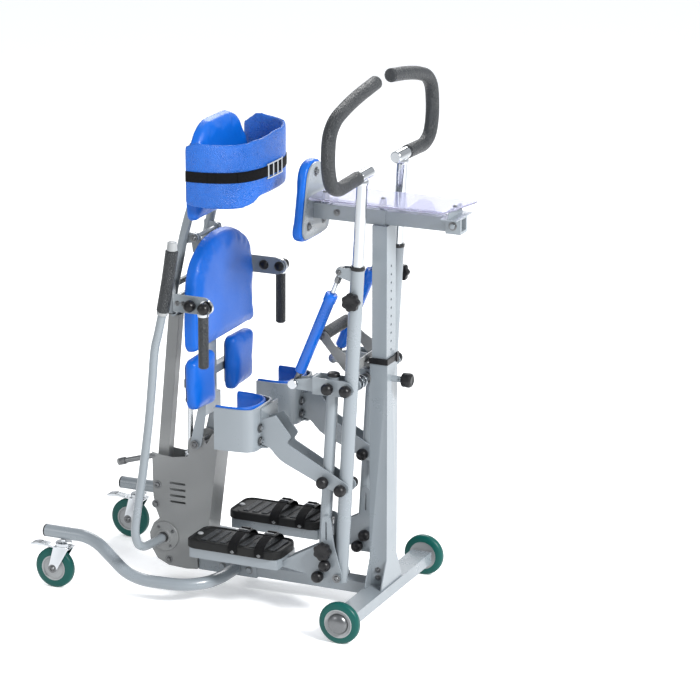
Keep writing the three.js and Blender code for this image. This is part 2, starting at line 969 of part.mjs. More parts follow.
function backFrame() {
  const [sx, sz] = BACK_PIVOT;
  const rail = (side) =>
    bent(
      [
        [-656, side * 84, 868],
        [-650, side * 84, 925],
        [-630, side * 84, 1020],
        [-613, side * 84, 1100],
        [-600, side * 83, 1150],
        [-577, side * 80, 1240],
        [-575, side * 78, 1390],
      ],
      14,
      9,
      { bore: 10.5 },
    );
  const carrier = (side) =>
    cut(
      plateXZ(
        [
          [-622, sz - 22],
          [-622, sz + 18],
          [sx + 14, sz + 12, 12],
          [sx + 14, sz - 12, 12],
        ],
        side * 75 - 4,
        side * 75 + 4,
      ),
      rodY(sx, sz, -100, 100, 8),
    );
  const lug = (y0, y1) =>
    plateXZ(
      [
        [-651, 913],
        [-646, 898],
        [BACK_LUG[0] + 12, BACK_LUG[1] - 8, 10],
        [BACK_LUG[0], BACK_LUG[1] - 16, 10],
        [BACK_LUG[0] - 16, BACK_LUG[1], 10],
        [BACK_LUG[0] - 12, BACK_LUG[1] + 14, 10],
      ],
      y0,
      y1,
    );
  const wing = (side) => {
    const quad = [
      [-560, ARM_Y + 4],
      [-566, ARM_Y],
      [-652, 84],
      [-640, 84],
    ].map(([x, y]) => [x, side * y]);
    return plateXY(side > 0 ? quad : quad.reverse(), 926, 972);
  };
  const armPlate = (side) =>
    plateXZ(
      [
        [-566, 924, 4],
        [-452, 924, 22],
        [-430, 950, 22],
        [-452, 978, 22],
        [-566, 978, 4],
      ],
      Math.min(side * ARM_Y, side * (ARM_Y + 5)),
      Math.max(side * ARM_Y, side * (ARM_Y + 5)),
    );
  const knobs = [-1, 1].map((side) => ballKnob(-505, 951, side * (ARM_Y + 4), side));
  const bars = [rodY(-651, 905, -84, 84, 11), rodY(-576, 1330, -79, 79, 11), box(-645, -633, -84, 84, 952, 968)];
  const sides = [-1, 1].flatMap((side) => [rail(side), carrier(side), wing(side), armPlate(side)]);
  return join(...sides, ...bars, lug(20, 25), lug(-25, -20), ...knobs);
}

function backPad() {
  const edge = [
    [-178, 1177, 30],
    [178, 1177, 30],
    [186, 1360, 30],
    [110, 1468, 60],
    [-110, 1468, 60],
    [-186, 1360, 30],
  ];
  return plateYZ(edge, -559.6, -518, 0, 4);
}

function belt() {
  const outer = [
    [-548, -200],
    [-470, -196, 60],
    [-372, -140, 90],
    [-352, 0, 120],
    [-372, 140, 90],
    [-470, 196, 60],
    [-548, 200],
    [-548, 187],
    [-474, 182, 56],
    [-384, 130, 80],
    [-366, 0, 110],
    [-384, -130, 80],
    [-474, -182, 56],
    [-548, -187],
  ];
  return plateXY(outer, 1228, 1430, 0, 4);
}

function armGrip(side) {
  const near = side * (ARM_Y + 5.4);
  const far = side * (ARM_Y + 15);
  const y = side * (ARM_Y + 21.5);
  const disc = rodY(-454, 951, Math.min(near, far), Math.max(near, far), 22, 16);
  const grip = rod([-460, y, 768], [-459, y, 938], 15.5, 14);
  return join(disc, grip, ballKnob(-454, 951, far - side, side));
}

function rearLink() {
  const [gx, gz] = LINK_PIVOT;
  const [tx, tz] = BACK_LUG;
  const length = Math.hypot(tx - gx, tz - gz);
  const foot = box(-13, 13, -17, 17, -10.5, 32);
  const beam = cut(box(-18, 18, -17, 17, 30, length - 8), box(-15, 15, -14, 14, 33, length - 30));
  const tip = box(-11, 11, -14, 14, length - 20, length + 6);
  const open = cut(join(beam, tip, foot), box(-6, 6, -6, 6, 16, length + 10));
  const bored = cut(open, rodY(0, 0, -20, 20, 7));
  const tilt = (Math.atan2(tx - gx, tz - gz) * 180) / Math.PI;
  return bored.rotate([0, tilt, 0]).translate([gx, 0, gz]);
}

function alongJack(t) {
  return [
    JACK_FOOT[0] + t * (JACK_HEAD[0] - JACK_FOOT[0]),
    0,
    JACK_FOOT[1] + t * (JACK_HEAD[1] - JACK_FOOT[1]),
  ];
}

function jackCylinder() {
  const body = join(rod(alongJack(0), alongJack(0.61), 14.5, 12), rod(alongJack(0.6), alongJack(0.66), 18, 12));
  return cut(body, rod(alongJack(0.08), alongJack(0.7), 9.6, 10));
}

function jackRod() {
  const stem = rod(alongJack(0.35), alongJack(0.985), 8.4, 12);
  return join(stem, rodY(...JACK_HEAD, -12, 12, 13));
}

function pumpLever() {
  const [x, z] = HUB;
  const upper = [
    [-529, LEVER_Y, 1156],
    [-530, LEVER_Y, 1132],
    [-545, LEVER_Y, 1040],
    [-564, LEVER_Y, 942],
    [-580, LEVER_Y, 872],
    [-591, LEVER_Y, 829],
    [-603, LEVER_Y, 716],
    [-615, LEVER_Y, 604],
    [-640, LEVER_Y, 430],
    [-657, LEVER_Y, 330],
    [-668, LEVER_Y, 245],
    [-667, LEVER_Y + 14, 205],
    [-666, LEVER_Y + 44, 186],
    [-682, -180, 164],
    [-702, -92, 144],
    [x + 1, -66, z + 1],
  ];
  const tube = bent(upper, 13, 22, { bore: 9.6 });
  const grip = bent(upper.slice(1, 4), 19, 3, { segments: 10 });
  const knuckle = rodY(x, z, -70, -56.4, 16);
  const drain = rod([-680, LEVER_Y, 250], [-667, LEVER_Y, 250], 3, 6);
  return cut(join(tube, grip, knuckle, rodY(x, z, -68, -30, 10)), drain);
}

// ---- assembly -----------------------------------------------------------------------------

const PARTS = [
  ["front_crossbar", "frame", frontCrossbar],
  ["base_beam", "frame", baseBeam],
  ["column_outer", "frame", columnOuter],
  ["column_collar", "black", columnCollar],
  ["pivot_shaft", "frame", pivotShaft],
  ["roller_bracket", "grey", rollerBracket],
  ["roller_grip", "foam", rollerGrip],
  ["rear_leg_right", "frame", () => rearLeg(-1)],
  ["rear_leg_left", "frame", () => rearLeg(1)],
  ["tower_housing", "grey", towerHousing],
  ["hub_flange", "grey", hubFlange],
  ["link_box_right", "frame", () => linkBox(-1)],
  ["link_box_left", "frame", () => linkBox(1)],
  ["column_inner", "frame", columnInner],
  ["tray_beam", "frame", trayBeam],
  ["tray_top", "clear", trayTop],
  ["chest_plate", "frame", chestPlate],
  ["chest_pad", "vinyl", chestPad],
  ["index_knob", "black", indexKnob],
  ["front_wheel_right", "tyre", () => frontWheel(-1)],
  ["front_wheel_left", "tyre", () => frontWheel(1)],
  ["caster_fork_right", "chrome", () => casterFork(-1)],
  ["caster_fork_left", "chrome", () => casterFork(1)],
  ["caster_wheel_right", "tyre", () => casterWheel(-1)],
  ["caster_wheel_left", "tyre", () => casterWheel(1)],
  ["caster_brake_right", "chrome", () => casterBrake(-1)],
  ["caster_brake_left", "chrome", () => casterBrake(1)],
  ["lever_post_right", "frame", () => leverPost(-1)],
  ["lever_post_left", "frame", () => leverPost(1)],
  ["handle_tube_right", "chrome", () => handleTube(-1)],
  ["handle_tube_left", "chrome", () => handleTube(1)],
  ["handle_grip_right", "foam", () => handleGrip(-1)],
  ["handle_grip_left", "foam", () => handleGrip(1)],
  ["link_tube_right", "frame", () => linkTube(-1)],
  ["link_tube_left", "frame", () => linkTube(1)],
  ["knee_bracket_right", "frame", () => kneeBracket(-1)],
  ["knee_bracket_left", "frame", () => kneeBracket(1)],
  ["knee_pad_right", "vinyl", () => kneePad(-1)],
  ["knee_pad_left", "vinyl", () => kneePad(1)],
  ["foot_frame_right", "frame", () => footFrame(-1)],
  ["foot_frame_left", "frame", () => footFrame(1)],
  ["foot_pad_right", "rubber", () => footPad(-1)],
  ["foot_pad_left", "rubber", () => footPad(1)],
  ["damper_cylinder_right", "blue", () => damperCylinder(-1)],
  ["damper_cylinder_left", "blue", () => damperCylinder(1)],
  ["damper_rod_right", "chrome", () => damperRod(-1)],
  ["damper_rod_left", "chrome", () => damperRod(1)],
  ["seat_frame", "frame", seatFrame],
  ["pelvis_pad", "vinyl", pelvisPad],
  ["thigh_pad_right", "vinyl", () => thighPad(-1)],
  ["thigh_pad_left", "vinyl", () => thighPad(1)],
  ["back_frame", "frame", backFrame],
  ["back_pad", "vinyl", backPad],
  ["belt", "vinyl", belt],
  ["arm_grip_right", "foam", () => armGrip(-1)],
  ["arm_grip_left", "foam", () => armGrip(1)],
  ["rear_link", "grey", rearLink],
  ["jack_cylinder", "chrome", jackCylinder],
  ["jack_rod", "chrome", jackRod],
  ["pump_lever", "frame", pumpLever],
];

const group = new THREE.Group();
group.name = "sit_to_stand_lift";
const bounds = new THREE.Box3();
for (const [name, finish, make] of PARTS) {
  const mesh = new THREE.Mesh(toGeometry(make()), new THREE.MeshStandardMaterial(FINISH[finish]));
  mesh.name = name;
  mesh.geometry.computeBoundingBox();
  bounds.union(mesh.geometry.boundingBox);
  group.add(mesh);
}

// The origin goes to the middle of the footprint, on the floor.
export const SHIFT = [-(bounds.min.x + bounds.max.x) / 2, -(bounds.min.y + bounds.max.y) / 2, -bounds.min.z];
for (const mesh of group.children) mesh.geometry.translate(...SHIFT);

export default group;
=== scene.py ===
"""Sit-to-stand lift with a folding seat, gliding foot plates, swinging handles and a tray."""

import logging
import math
from dataclasses import dataclass, field
from enum import Enum

import bmesh
import bpy
import numpy as np
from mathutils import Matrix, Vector


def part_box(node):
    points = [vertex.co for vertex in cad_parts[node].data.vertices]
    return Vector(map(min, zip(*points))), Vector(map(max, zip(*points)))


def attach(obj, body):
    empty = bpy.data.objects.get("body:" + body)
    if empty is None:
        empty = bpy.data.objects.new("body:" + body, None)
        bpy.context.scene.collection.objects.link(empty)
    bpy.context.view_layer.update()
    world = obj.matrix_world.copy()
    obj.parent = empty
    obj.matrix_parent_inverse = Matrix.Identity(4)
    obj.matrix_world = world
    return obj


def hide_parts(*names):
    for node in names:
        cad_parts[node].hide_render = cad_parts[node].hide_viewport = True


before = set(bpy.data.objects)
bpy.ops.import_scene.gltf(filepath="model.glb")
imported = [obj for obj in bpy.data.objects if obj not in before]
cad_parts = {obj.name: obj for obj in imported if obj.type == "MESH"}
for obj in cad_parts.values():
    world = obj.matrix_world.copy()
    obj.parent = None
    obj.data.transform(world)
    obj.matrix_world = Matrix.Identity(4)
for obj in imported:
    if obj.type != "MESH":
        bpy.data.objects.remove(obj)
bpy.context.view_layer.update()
LOG = logging.getLogger("lift")
Array = np.ndarray
# Sizes below are millimetres from the column's axis; the shift moves them to the frame's origin.
MM = 1000.0
SHIFT_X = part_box("column_outer")[0][0] * MM + 28.0
# How far each gliding unit's mid-plane stands from the lift's, and the sign of each side on Y.
UNIT_Y = 144.0
SIDES = {"right": -1.0, "left": 1.0}
# The lever posts lean by this much of their height, and the link tubes stand this far behind them.
LEAN = 0.0561
LINK_BACK = 58.0
# The backs of the seat and back cushions, the two faces of the boards behind them, and the
# boards' size as a part of the cushion's outline.
CUSHION_X = -554.5
BOARD_X = (-559.6, -554.0)
BOARD_SIZE = 0.9
# The cloth's frames, and how near its resting plane a held point lies, in metres.
CLOTH_FRAMES = 20
HELD_BAND = 0.0025


class Plane(Enum):
    """The plane an outline is drawn in; the third axis is the plate's thickness."""

    XZ = (0, 2, 1)
    YZ = (1, 2, 0)
    XY = (0, 1, 2)


class Finish(Enum):
    """Every finish on the lift."""

    FRAME = "powder_coat_light"
    TOWER = "powder_coat_grey"
    CHROME = "chrome"
    STEEL = "zinc_steel"
    GRIP = "grip_foam"
    VINYL = "blue_vinyl"
    BELT = "belt_foam"
    DAMPER = "damper_lacquer"
    TREAD = "green_tread"
    HUB = "wheel_hub"
    BLACK = "black_plastic"
    RUBBER = "foot_rubber"
    WEBBING = "black_webbing"
    CLEAR = "clear_acrylic"


# ---- shader groups and finishes ------------------------------------------------------------


class Groups:
    """The node groups that the finishes share, each built once."""

    @staticmethod
    def _new(
        name: str, inputs: dict[str, tuple[str, float | tuple]], outputs: dict[str, str]
    ) -> tuple[bpy.types.NodeTree, bpy.types.Node, bpy.types.Node]:
        """Make an empty group with named sockets.

        Args:
            name: the group's name.
            inputs: socket name to its kind and default.
            outputs: socket name to its kind.

        Returns:
            The group, its input node and its output node.
        """
        tree = bpy.data.node_groups.new(name, "ShaderNodeTree")
        for key, (kind, value) in inputs.items():
            tree.interface.new_socket(key, in_out="INPUT", socket_type=kind).default_value = value
        for key, kind in outputs.items():
            tree.interface.new_socket(key, in_out="OUTPUT", socket_type=kind)
        return tree, tree.nodes.new("NodeGroupInput"), tree.nodes.new("NodeGroupOutput")

    @classmethod
    def drift(cls) -> bpy.types.NodeTree:
        """Soft cloudy change of colour and a matching roughness, from two noises.

        Returns:
            The group, with a Color and a Roughness output.
        """
        if "surface_drift" in bpy.data.node_groups:
            return bpy.data.node_groups["surface_drift"]
        tree, start, end = cls._new(
            "surface_drift",
            {
                "Color": ("NodeSocketColor", (1, 1, 1, 1)),
                "Worn": ("NodeSocketColor", (0, 0, 0, 1)),
                "Scale": ("NodeSocketFloat", 6.0),
                "Amount": ("NodeSocketFloat", 0.2),
                "Rough low": ("NodeSocketFloat", 0.3),
                "Rough high": ("NodeSocketFloat", 0.5),
            },
            {"Color": "NodeSocketColor", "Roughness": "NodeSocketFloat"},
        )
        add, link = tree.nodes.new, tree.links.new
        where = add("ShaderNodeTexCoord")
        cloud, fleck = add("ShaderNodeTexNoise"), add("ShaderNodeTexNoise")
        cloud.inputs["Detail"].default_value = 5.0
        fleck.inputs["Scale"].default_value = 240.0
        for noise in (cloud, fleck):
            link(where.outputs["Object"], noise.inputs["Vector"])
        link(start.outputs["Scale"], cloud.inputs["Scale"])
        both = add("ShaderNodeMath")
        both.operation = "MULTIPLY_ADD"
        both.inputs[1].default_value = 0.25
        link(fleck.outputs["Fac"], both.inputs[0])
        link(cloud.outputs["Fac"], both.inputs[2])
        span = add("ShaderNodeMapRange")
        span.inputs["From Min"].default_value = 0.45
        span.inputs["From Max"].default_value = 0.85
        link(both.outputs[0], span.inputs["Value"])
        weigh = add("ShaderNodeMath")
        weigh.operation = "MULTIPLY"
        link(span.outputs["Result"], weigh.inputs[0])
        link(start.outputs["Amount"], weigh.inputs[1])
        blend = add("ShaderNodeMix")
        blend.data_type = "RGBA"
        link(weigh.outputs[0], blend.inputs["Factor"])
        link(start.outputs["Color"], blend.inputs[6])
        link(start.outputs["Worn"], blend.inputs[7])
        rough = add("ShaderNodeMapRange")
        link(span.outputs["Result"], rough.inputs["Value"])
        link(start.outputs["Rough low"], rough.inputs["To Min"])
        link(start.outputs["Rough high"], rough.inputs["To Max"])
        link(blend.outputs[2], end.inputs["Color"])
        link(rough.outputs["Result"], end.inputs["Roughness"])
        return tree

    @classmethod
    def relief(cls, name: str, kind: str) -> bpy.types.NodeTree:
        """A bump normal: noise for orange peel, cells for leather grain and foam, waves for a weave.

        Args:
            name: the group's name.
            kind: noise, cells or weave.

        Returns:
            The group, with a Normal output.
        """
        if name in bpy.data.node_groups:
            return bpy.data.node_groups[name]
        tree, start, end = cls._new(
            name,
            {
                "Scale": ("NodeSocketFloat", 400.0),
                "Strength": ("NodeSocketFloat", 0.2),
                "Distance": ("NodeSocketFloat", 0.0005),
            },
            {"Normal": "NodeSocketVector"},
        )
        add, link = tree.nodes.new, tree.links.new
        where = add("ShaderNodeTexCoord")
        if kind == "weave":
            sources = []
            for axis in ("X", "Z"):
                wave = add("ShaderNodeTexWave")
                wave.bands_direction = axis
                sources.append(wave)
        else:
            sources = [add("ShaderNodeTexVoronoi" if kind == "cells" else "ShaderNodeTexNoise")]
        for source in sources:
            link(where.outputs["Object"], source.inputs["Vector"])
            link(start.outputs["Scale"], source.inputs["Scale"])
        out = "Distance" if kind == "cells" else "Fac"
        height = sources[0].outputs[out]
        if len(sources) == 2:
            top = add("ShaderNodeMath")
            top.operation = "MULTIPLY"
            link(sources[0].outputs[out], top.inputs[0])
            link(sources[1].outputs[out], top.inputs[1])
            height = top.outputs[0]
        bump = add("ShaderNodeBump")
        link(height, bump.inputs["Height"])
        link(start.outputs["Strength"], bump.inputs["Strength"])
        link(start.outputs["Distance"], bump.inputs["Distance"])
        link(bump.outputs["Normal"], end.inputs["Normal"])
        return tree


@dataclass(frozen=True)
class Coat:
    """One finish: its colours, gloss and surface relief."""

    color: tuple[float, float, float]
    worn: tuple[float, float, float]
    rough: tuple[float, float]
    relief: str = "noise"
    scale: float = 500.0
    strength: float = 0.15
    depth: float = 0.0004
    metallic: float = 0.0
    coat: float = 0.0
    sheen: float = 0.0
    transmission: float = 0.0
    drift: float = 0.35
    gloss: float = 0.5
    cloud: float = 7.0

    def build(self, name: str) -> bpy.types.Material:
        """Make the material from the shared groups.

        Args:
            name: the material's name.

        Returns:
            The material.
        """
        made = bpy.data.materials.new(name)
        made.use_nodes = True
        nodes, link = made.node_tree.nodes, made.node_tree.links.new
        shader = nodes["Principled BSDF"]
        shader.inputs["Metallic"].default_value = self.metallic
        shader.inputs["Coat Weight"].default_value = self.coat
        shader.inputs["Coat Roughness"].default_value = 0.12
        shader.inputs["Sheen Weight"].default_value = self.sheen
        shader.inputs["Transmission Weight"].default_value = self.transmission
        shader.inputs["IOR"].default_value = 1.49
        shader.inputs["Specular IOR Level"].default_value = self.gloss
        tint = nodes.new("ShaderNodeGroup")
        tint.node_tree = Groups.drift()
        values = {
            "Color": (*self.color, 1.0),
            "Worn": (*self.worn, 1.0),
            "Scale": self.cloud,
            "Amount": self.drift,
            "Rough low": self.rough[0],
            "Rough high": self.rough[1],
        }
        for key, value in values.items():
            tint.inputs[key].default_value = value
        link(tint.outputs["Color"], shader.inputs["Base Color"])
        link(tint.outputs["Roughness"], shader.inputs["Roughness"])
        bump = nodes.new("ShaderNodeGroup")
        bump.node_tree = Groups.relief(f"relief_{self.relief}", self.relief)
        bump.inputs["Scale"].default_value = self.scale
        bump.inputs["Strength"].default_value = self.strength
        bump.inputs["Distance"].default_value = self.depth
        link(bump.outputs["Normal"], shader.inputs["Normal"])
        return made


COATS = {
    Finish.FRAME: Coat((0.19, 0.215, 0.235), (0.165, 0.187, 0.203), (0.26, 0.38), scale=700.0, coat=0.3, drift=0.3),
    Finish.TOWER: Coat((0.18, 0.186, 0.186), (0.15, 0.154, 0.154), (0.32, 0.46), scale=700.0, coat=0.2, gloss=0.4),
    Finish.CHROME: Coat((0.5, 0.52, 0.54), (0.4, 0.42, 0.44), (0.08, 0.2), metallic=1.0, strength=0.03),
    Finish.STEEL: Coat((0.17, 0.175, 0.18), (0.09, 0.09, 0.09), (0.25, 0.42), metallic=1.0, strength=0.08),
    Finish.GRIP: Coat((0.011, 0.013, 0.015), (0.04, 0.045, 0.05), (0.32, 0.52), "cells", 260.0, 1.0, 0.0028,
                      cloud=60.0, gloss=0.45),
    Finish.VINYL: Coat((0.0, 0.088, 0.42), (0.0, 0.07, 0.35), (0.34, 0.48), "cells", 520.0, 0.4, 0.0008, coat=0.08,
                       gloss=0.28),
    Finish.BELT: Coat((0.0, 0.085, 0.4), (0.008, 0.14, 0.56), (0.26, 0.42), "cells", 330.0, 1.0, 0.002, cloud=40.0,
                      gloss=0.5),
    Finish.DAMPER: Coat((0.0, 0.09, 0.44), (0.0, 0.078, 0.38), (0.2, 0.3), strength=0.04, coat=0.15, gloss=0.35),
    Finish.TREAD: Coat((0.001, 0.066, 0.056), (0.001, 0.05, 0.043), (0.32, 0.48), strength=0.12, gloss=0.25),
    Finish.HUB: Coat((0.27, 0.28, 0.285), (0.2, 0.205, 0.21), (0.35, 0.5), strength=0.1),
    Finish.BLACK: Coat((0.005, 0.005, 0.006), (0.014, 0.014, 0.014), (0.28, 0.45), scale=900.0, strength=0.25,
                       gloss=0.3),
    Finish.RUBBER: Coat((0.006, 0.0065, 0.007), (0.025, 0.024, 0.021), (0.45, 0.7), scale=420.0, strength=0.4,
                        gloss=0.2),
    Finish.WEBBING: Coat((0.003, 0.003, 0.0035), (0.008, 0.008, 0.008), (0.6, 0.8), "weave", 260.0, 0.8, 0.0008,
                         gloss=0.12),
    Finish.CLEAR: Coat((0.8, 0.8, 1.0), (0.74, 0.74, 0.98), (0.03, 0.07), strength=0.01, transmission=0.85),
}


# ---- shapes --------------------------------------------------------------------------------


def rounded(corners: list[tuple], steps: int = 6) -> Array:
    """Round each corner (u, v, reach) of a closed outline by a quadratic curve.

    A point at t is the blend start*(1-t)^2 + corner*2t(1-t) + end*t^2.

    Args:
        corners: the corners in order, with an optional reach.
        steps: points on each curve less one.

    Returns:
        The outline as an array of (u, v).
    """
    pts = np.array([c[:2] for c in corners], float)
    reach = np.array([c[2] if len(c) > 2 else 0.0 for c in corners])
    to_last, to_next = np.roll(pts, 1, 0) - pts, np.roll(pts, -1, 0) - pts
    lengths = [np.linalg.norm(v, axis=1) for v in (to_last, to_next)]
    reach = np.minimum(reach, 0.49 * np.minimum(*lengths))
    start = pts + to_last / lengths[0][:, None] * reach[:, None]
    end = pts + to_next / lengths[1][:, None] * reach[:, None]
    t = np.linspace(0, 1, steps + 1)[None, :, None]
    curve = start[:, None] * (1 - t) ** 2 + pts[:, None] * 2 * t * (1 - t) + end[:, None] * t**2
    flat = curve.reshape(-1, 2)
    keep = np.linalg.norm(flat - np.roll(flat, 1, 0), axis=1) > 1e-3
    return flat[keep]


def inset(outline: Array, depth: float) -> Array:
    """Move a closed outline inwards by depth along the mean of its two edge normals.

    Args:
        outline: the (n, 2) outline, turning either way.
        depth: how far it is moved.

    Returns:
        The moved outline.
    """
    ahead = np.roll(outline, -1, 0) - outline
    normal = np.stack([-ahead[:, 1], ahead[:, 0]], 1)
    normal /= np.linalg.norm(normal, axis=1)[:, None] + 1e-12
    mean = normal + np.roll(normal, 1, 0)
    mean /= np.maximum((mean**2).sum(1) / 2, 0.4)[:, None]
    area = (outline[:, 0] * np.roll(outline[:, 1], -1) - outline[:, 1] * np.roll(outline[:, 0], -1)).sum()
    return outline + mean * depth * (1.0 if area > 0 else -1.0)


def spline(points: list[tuple], count: int) -> Array:
    """Cubic Hermite curve through the points, its knots spaced by the square root of the chords.

    Args:
        points: the points to pass.
        count: how many samples to give back.

    Returns:
        The samples, evenly spaced in the knot parameter.
    """
    pts = np.array(points, float)
    if len(pts) == 2:
        return pts[0] + (pts[1] - pts[0]) * np.linspace(0, 1, count)[:, None]
    knots = np.concatenate([[0], np.cumsum(np.sqrt(np.linalg.norm(np.diff(pts, axis=0), axis=1)))])
    slope = np.gradient(pts, knots, axis=0)
    t = np.linspace(0, knots[-1], count)
    seg = np.clip(np.searchsorted(knots, t, side="right") - 1, 0, len(pts) - 2)
    width = (knots[seg + 1] - knots[seg])[:, None]
    u = (t - knots[seg])[:, None] / width
    a, b, m, n = pts[seg], pts[seg + 1], slope[seg] * width, slope[seg + 1] * width
    return (
        (2 * u**3 - 3 * u**2 + 1) * a + (u**3 - 2 * u**2 + u) * m
        + (3 * u**2 - 2 * u**3) * b + (u**3 - u**2) * n
    )


@dataclass
class Piece:
    """One visible piece in the making: closed shells in millimetres, each with a finish."""

    name: str
    verts: list[Array] = field(default_factory=list)
    faces: list[tuple[int, ...]] = field(default_factory=list)
    marks: list[int] = field(default_factory=list)
    finishes: list[Finish] = field(default_factory=list)
    count: int = 0
    move_y: float = 0.0

    def shell(self, rings: Array, finish: Finish, hoop: bool = False) -> "Piece":
        """Add rings (m, n, 3) joined in order into one closed shell, capped flat or joined end to end.

        Args:
            rings: m closed rings of n points.
            finish: what it is finished in.
            hoop: whether the last ring joins the first, in place of two caps.

        Returns:
            The piece itself.
        """
        m, n = rings.shape[:2]
        index = np.arange(m * n).reshape(m, n) + self.count
        rows = np.vstack([index, index[:1]]) if hoop else index
        nxt = np.roll(rows, -1, 1)
        quads = np.stack([rows[:-1], nxt[:-1], nxt[1:], rows[1:]], -1).reshape(-1, 4)
        ends = [] if hoop else [tuple(index[0][::-1].tolist()), tuple(index[-1].tolist())]
        self.faces += [tuple(q) for q in quads.tolist()] + ends
        if finish not in self.finishes:
            self.finishes.append(finish)
        self.marks += [self.finishes.index(finish)] * (len(quads) + len(ends))
        self.verts.append(rings.reshape(-1, 3) + np.array([0.0, self.move_y, 0.0]))
        self.count += m * n
        return self

    def tube(self, points: list[tuple], radius: float, finish: Finish, steps: int = 2, sides: int = 28,
             edge: float = 1.0) -> "Piece":
        """A round bar: a circle of the radius carried along the curve, its ends eased by edge.

        Args:
            points: the curve's points.
            radius: the bar's radius.
            finish: what it is finished in.
            steps: samples along the curve.
            sides: points round the circle.
            edge: how far each end is eased.

        Returns:
            The piece itself.
        """
        path = spline(points, max(steps, 2))
        run = np.gradient(path, axis=0)
        run /= np.linalg.norm(run, axis=1)[:, None]
        axes = np.eye(3)
        side = axes[np.argmin(np.abs(run @ axes).max(0))]
        across = np.cross(run, side)
        across /= np.linalg.norm(across, axis=1)[:, None]
        other = np.cross(run, across)
        size = np.full(len(path), radius)
        stops = np.concatenate([path[:1], path[:1] + run[:1] * edge, path[1:-1], path[-1:] - run[-1:] * edge,
                                path[-1:]])
        size = np.concatenate([[radius - edge], size, [radius - edge]])
        pick = np.concatenate([[0], np.arange(len(path)), [len(path) - 1]])
        angle = np.linspace(0, 2 * np.pi, sides, endpoint=False)
        wide, tall = np.cos(angle)[None, :, None], np.sin(angle)[None, :, None]
        ring = wide * across[pick][:, None] + tall * other[pick][:, None]
        return self.shell(stops[:, None] + ring * size[:, None, None], finish)

    def lathe(self, base: tuple, axis: tuple, profile: list[tuple], finish: Finish, sides: int = 40,
              lobes: tuple[int, float] = (0, 0.0), hoop: bool = False) -> "Piece":
        """Turn a profile of (radius, height) about an axis, with the radius waved by lobes.

        Args:
            base: where height 0 is.
            axis: the turning axis.
            profile: radii and heights from one end to the other.
            finish: what it is finished in.
            sides: points round each ring.
            lobes: how many lobes, and the part of the radius they rise by.
            hoop: whether the profile closes on itself, as on a tyre.

        Returns:
            The piece itself.
        """
        along = np.array(axis, float) / np.linalg.norm(axis)
        across = np.cross(along, np.eye(3)[np.argmin(np.abs(along))])
        across /= np.linalg.norm(across)
        other = np.cross(along, across)
        angle = np.linspace(0, 2 * np.pi, sides, endpoint=False)
        wave = 1 + lobes[1] * np.cos(lobes[0] * (angle + np.pi / 2))
        ring = (np.cos(angle) * wave)[:, None] * across + (np.sin(angle) * wave)[:, None] * other
        radius, height = np.array(profile, float).T
        radius = np.maximum(radius, 0.05)
        rings = np.array(base, float) + ring[None] * radius[:, None, None] + along * height[:, None, None]
        return self.shell(rings, finish, hoop)

    def plate(self, corners: list[tuple], plane: Plane, low: float, high: float, finish: Finish,
              edge: float = 0.8) -> "Piece":
        """A flat plate: a rounded outline stood up between low and high, its edges eased.

        Args:
            corners: the outline's corners, each with an optional reach.
            plane: the plane it is drawn in.
            low: one face, along the third axis.
            high: the other face.
            finish: what it is finished in.
            edge: how far the edges are eased.

        Returns:
            The piece itself.
        """
        line = rounded(corners)
        low, high = min(low, high), max(low, high)
        small = inset(line, edge)
        rings = np.zeros((4, len(line), 3))
        u, v, w = plane.value
        for row, (shape, level) in enumerate(
            ((small, low), (line, low + edge), (line, high - edge), (small, high))
        ):
            rings[row, :, u], rings[row, :, v], rings[row, :, w] = shape[:, 0], shape[:, 1], level
        return self.shell(rings, finish)

    def block(self, low: tuple, high: tuple, finish: Finish, corner: float = 2.0, plane: Plane = Plane.XY) -> "Piece":
        """A box with its four long edges rounded by corner."""
        (a, b), (c, d), (e, f) = (sorted((low[k], high[k])) for k in plane.value)
        return self.plate([(a, c, corner), (b, c, corner), (b, d, corner), (a, d, corner)], plane, e, f, finish)

    def band(self, path: Array, low: Array, high: Array, thick: float, finish: Finish,
             plane: Plane = Plane.XY, shift: float = 0.0) -> "Piece":
        """A strip stood along a path: at each stop a flat oval, low to high, thick across the path.

        Args:
            path: (n, 2) points in the plane.
            low: the lower edge at each point.
            high: the upper edge at each point.
            thick: the strip's thickness.
            finish: what it is finished in.
            plane: the path's plane.
            shift: how far the strip is moved to the path's right.

        Returns:
            The piece itself.
        """
        run = np.gradient(path, axis=0)
        run /= np.linalg.norm(run, axis=1)[:, None]
        right = np.stack([run[:, 1], -run[:, 0]], 1)
        angle = np.linspace(0, 2 * np.pi, 24, endpoint=False)
        wide, tall = np.cos(angle), np.sin(angle)
        wide = np.sign(wide) * np.abs(wide) ** 0.45 * thick / 2 + shift
        tall = np.sign(tall) * np.abs(tall) ** 0.3
        low, high = np.broadcast_to(low, len(path)), np.broadcast_to(high, len(path))
        flat = path[:, None] + right[:, None] * wide[None, :, None]
        level = (low + high)[:, None] / 2 + (high - low)[:, None] / 2 * tall[None]
        u, v, w = plane.value
        rings = np.zeros((*flat.shape[:2], 3))
        rings[..., u], rings[..., v], rings[..., w] = flat[..., 0], flat[..., 1], level
        return self.shell(rings, finish)

    def ball_knob(self, x: float, z: float, y: float, side: float) -> "Piece":
        """A round clamping knob on a plate face at y, pointing along side."""
        profile = [(6, -1), (9.5, 0), (13, 2.5), (17, 8), (18.2, 15), (17.6, 22), (14.6, 28.5), (9.5, 32), (4, 33.4),
                   (0, 33.6)]
        return self.lathe((x, y, z), (0, side, 0), profile, Finish.BLACK, 32)

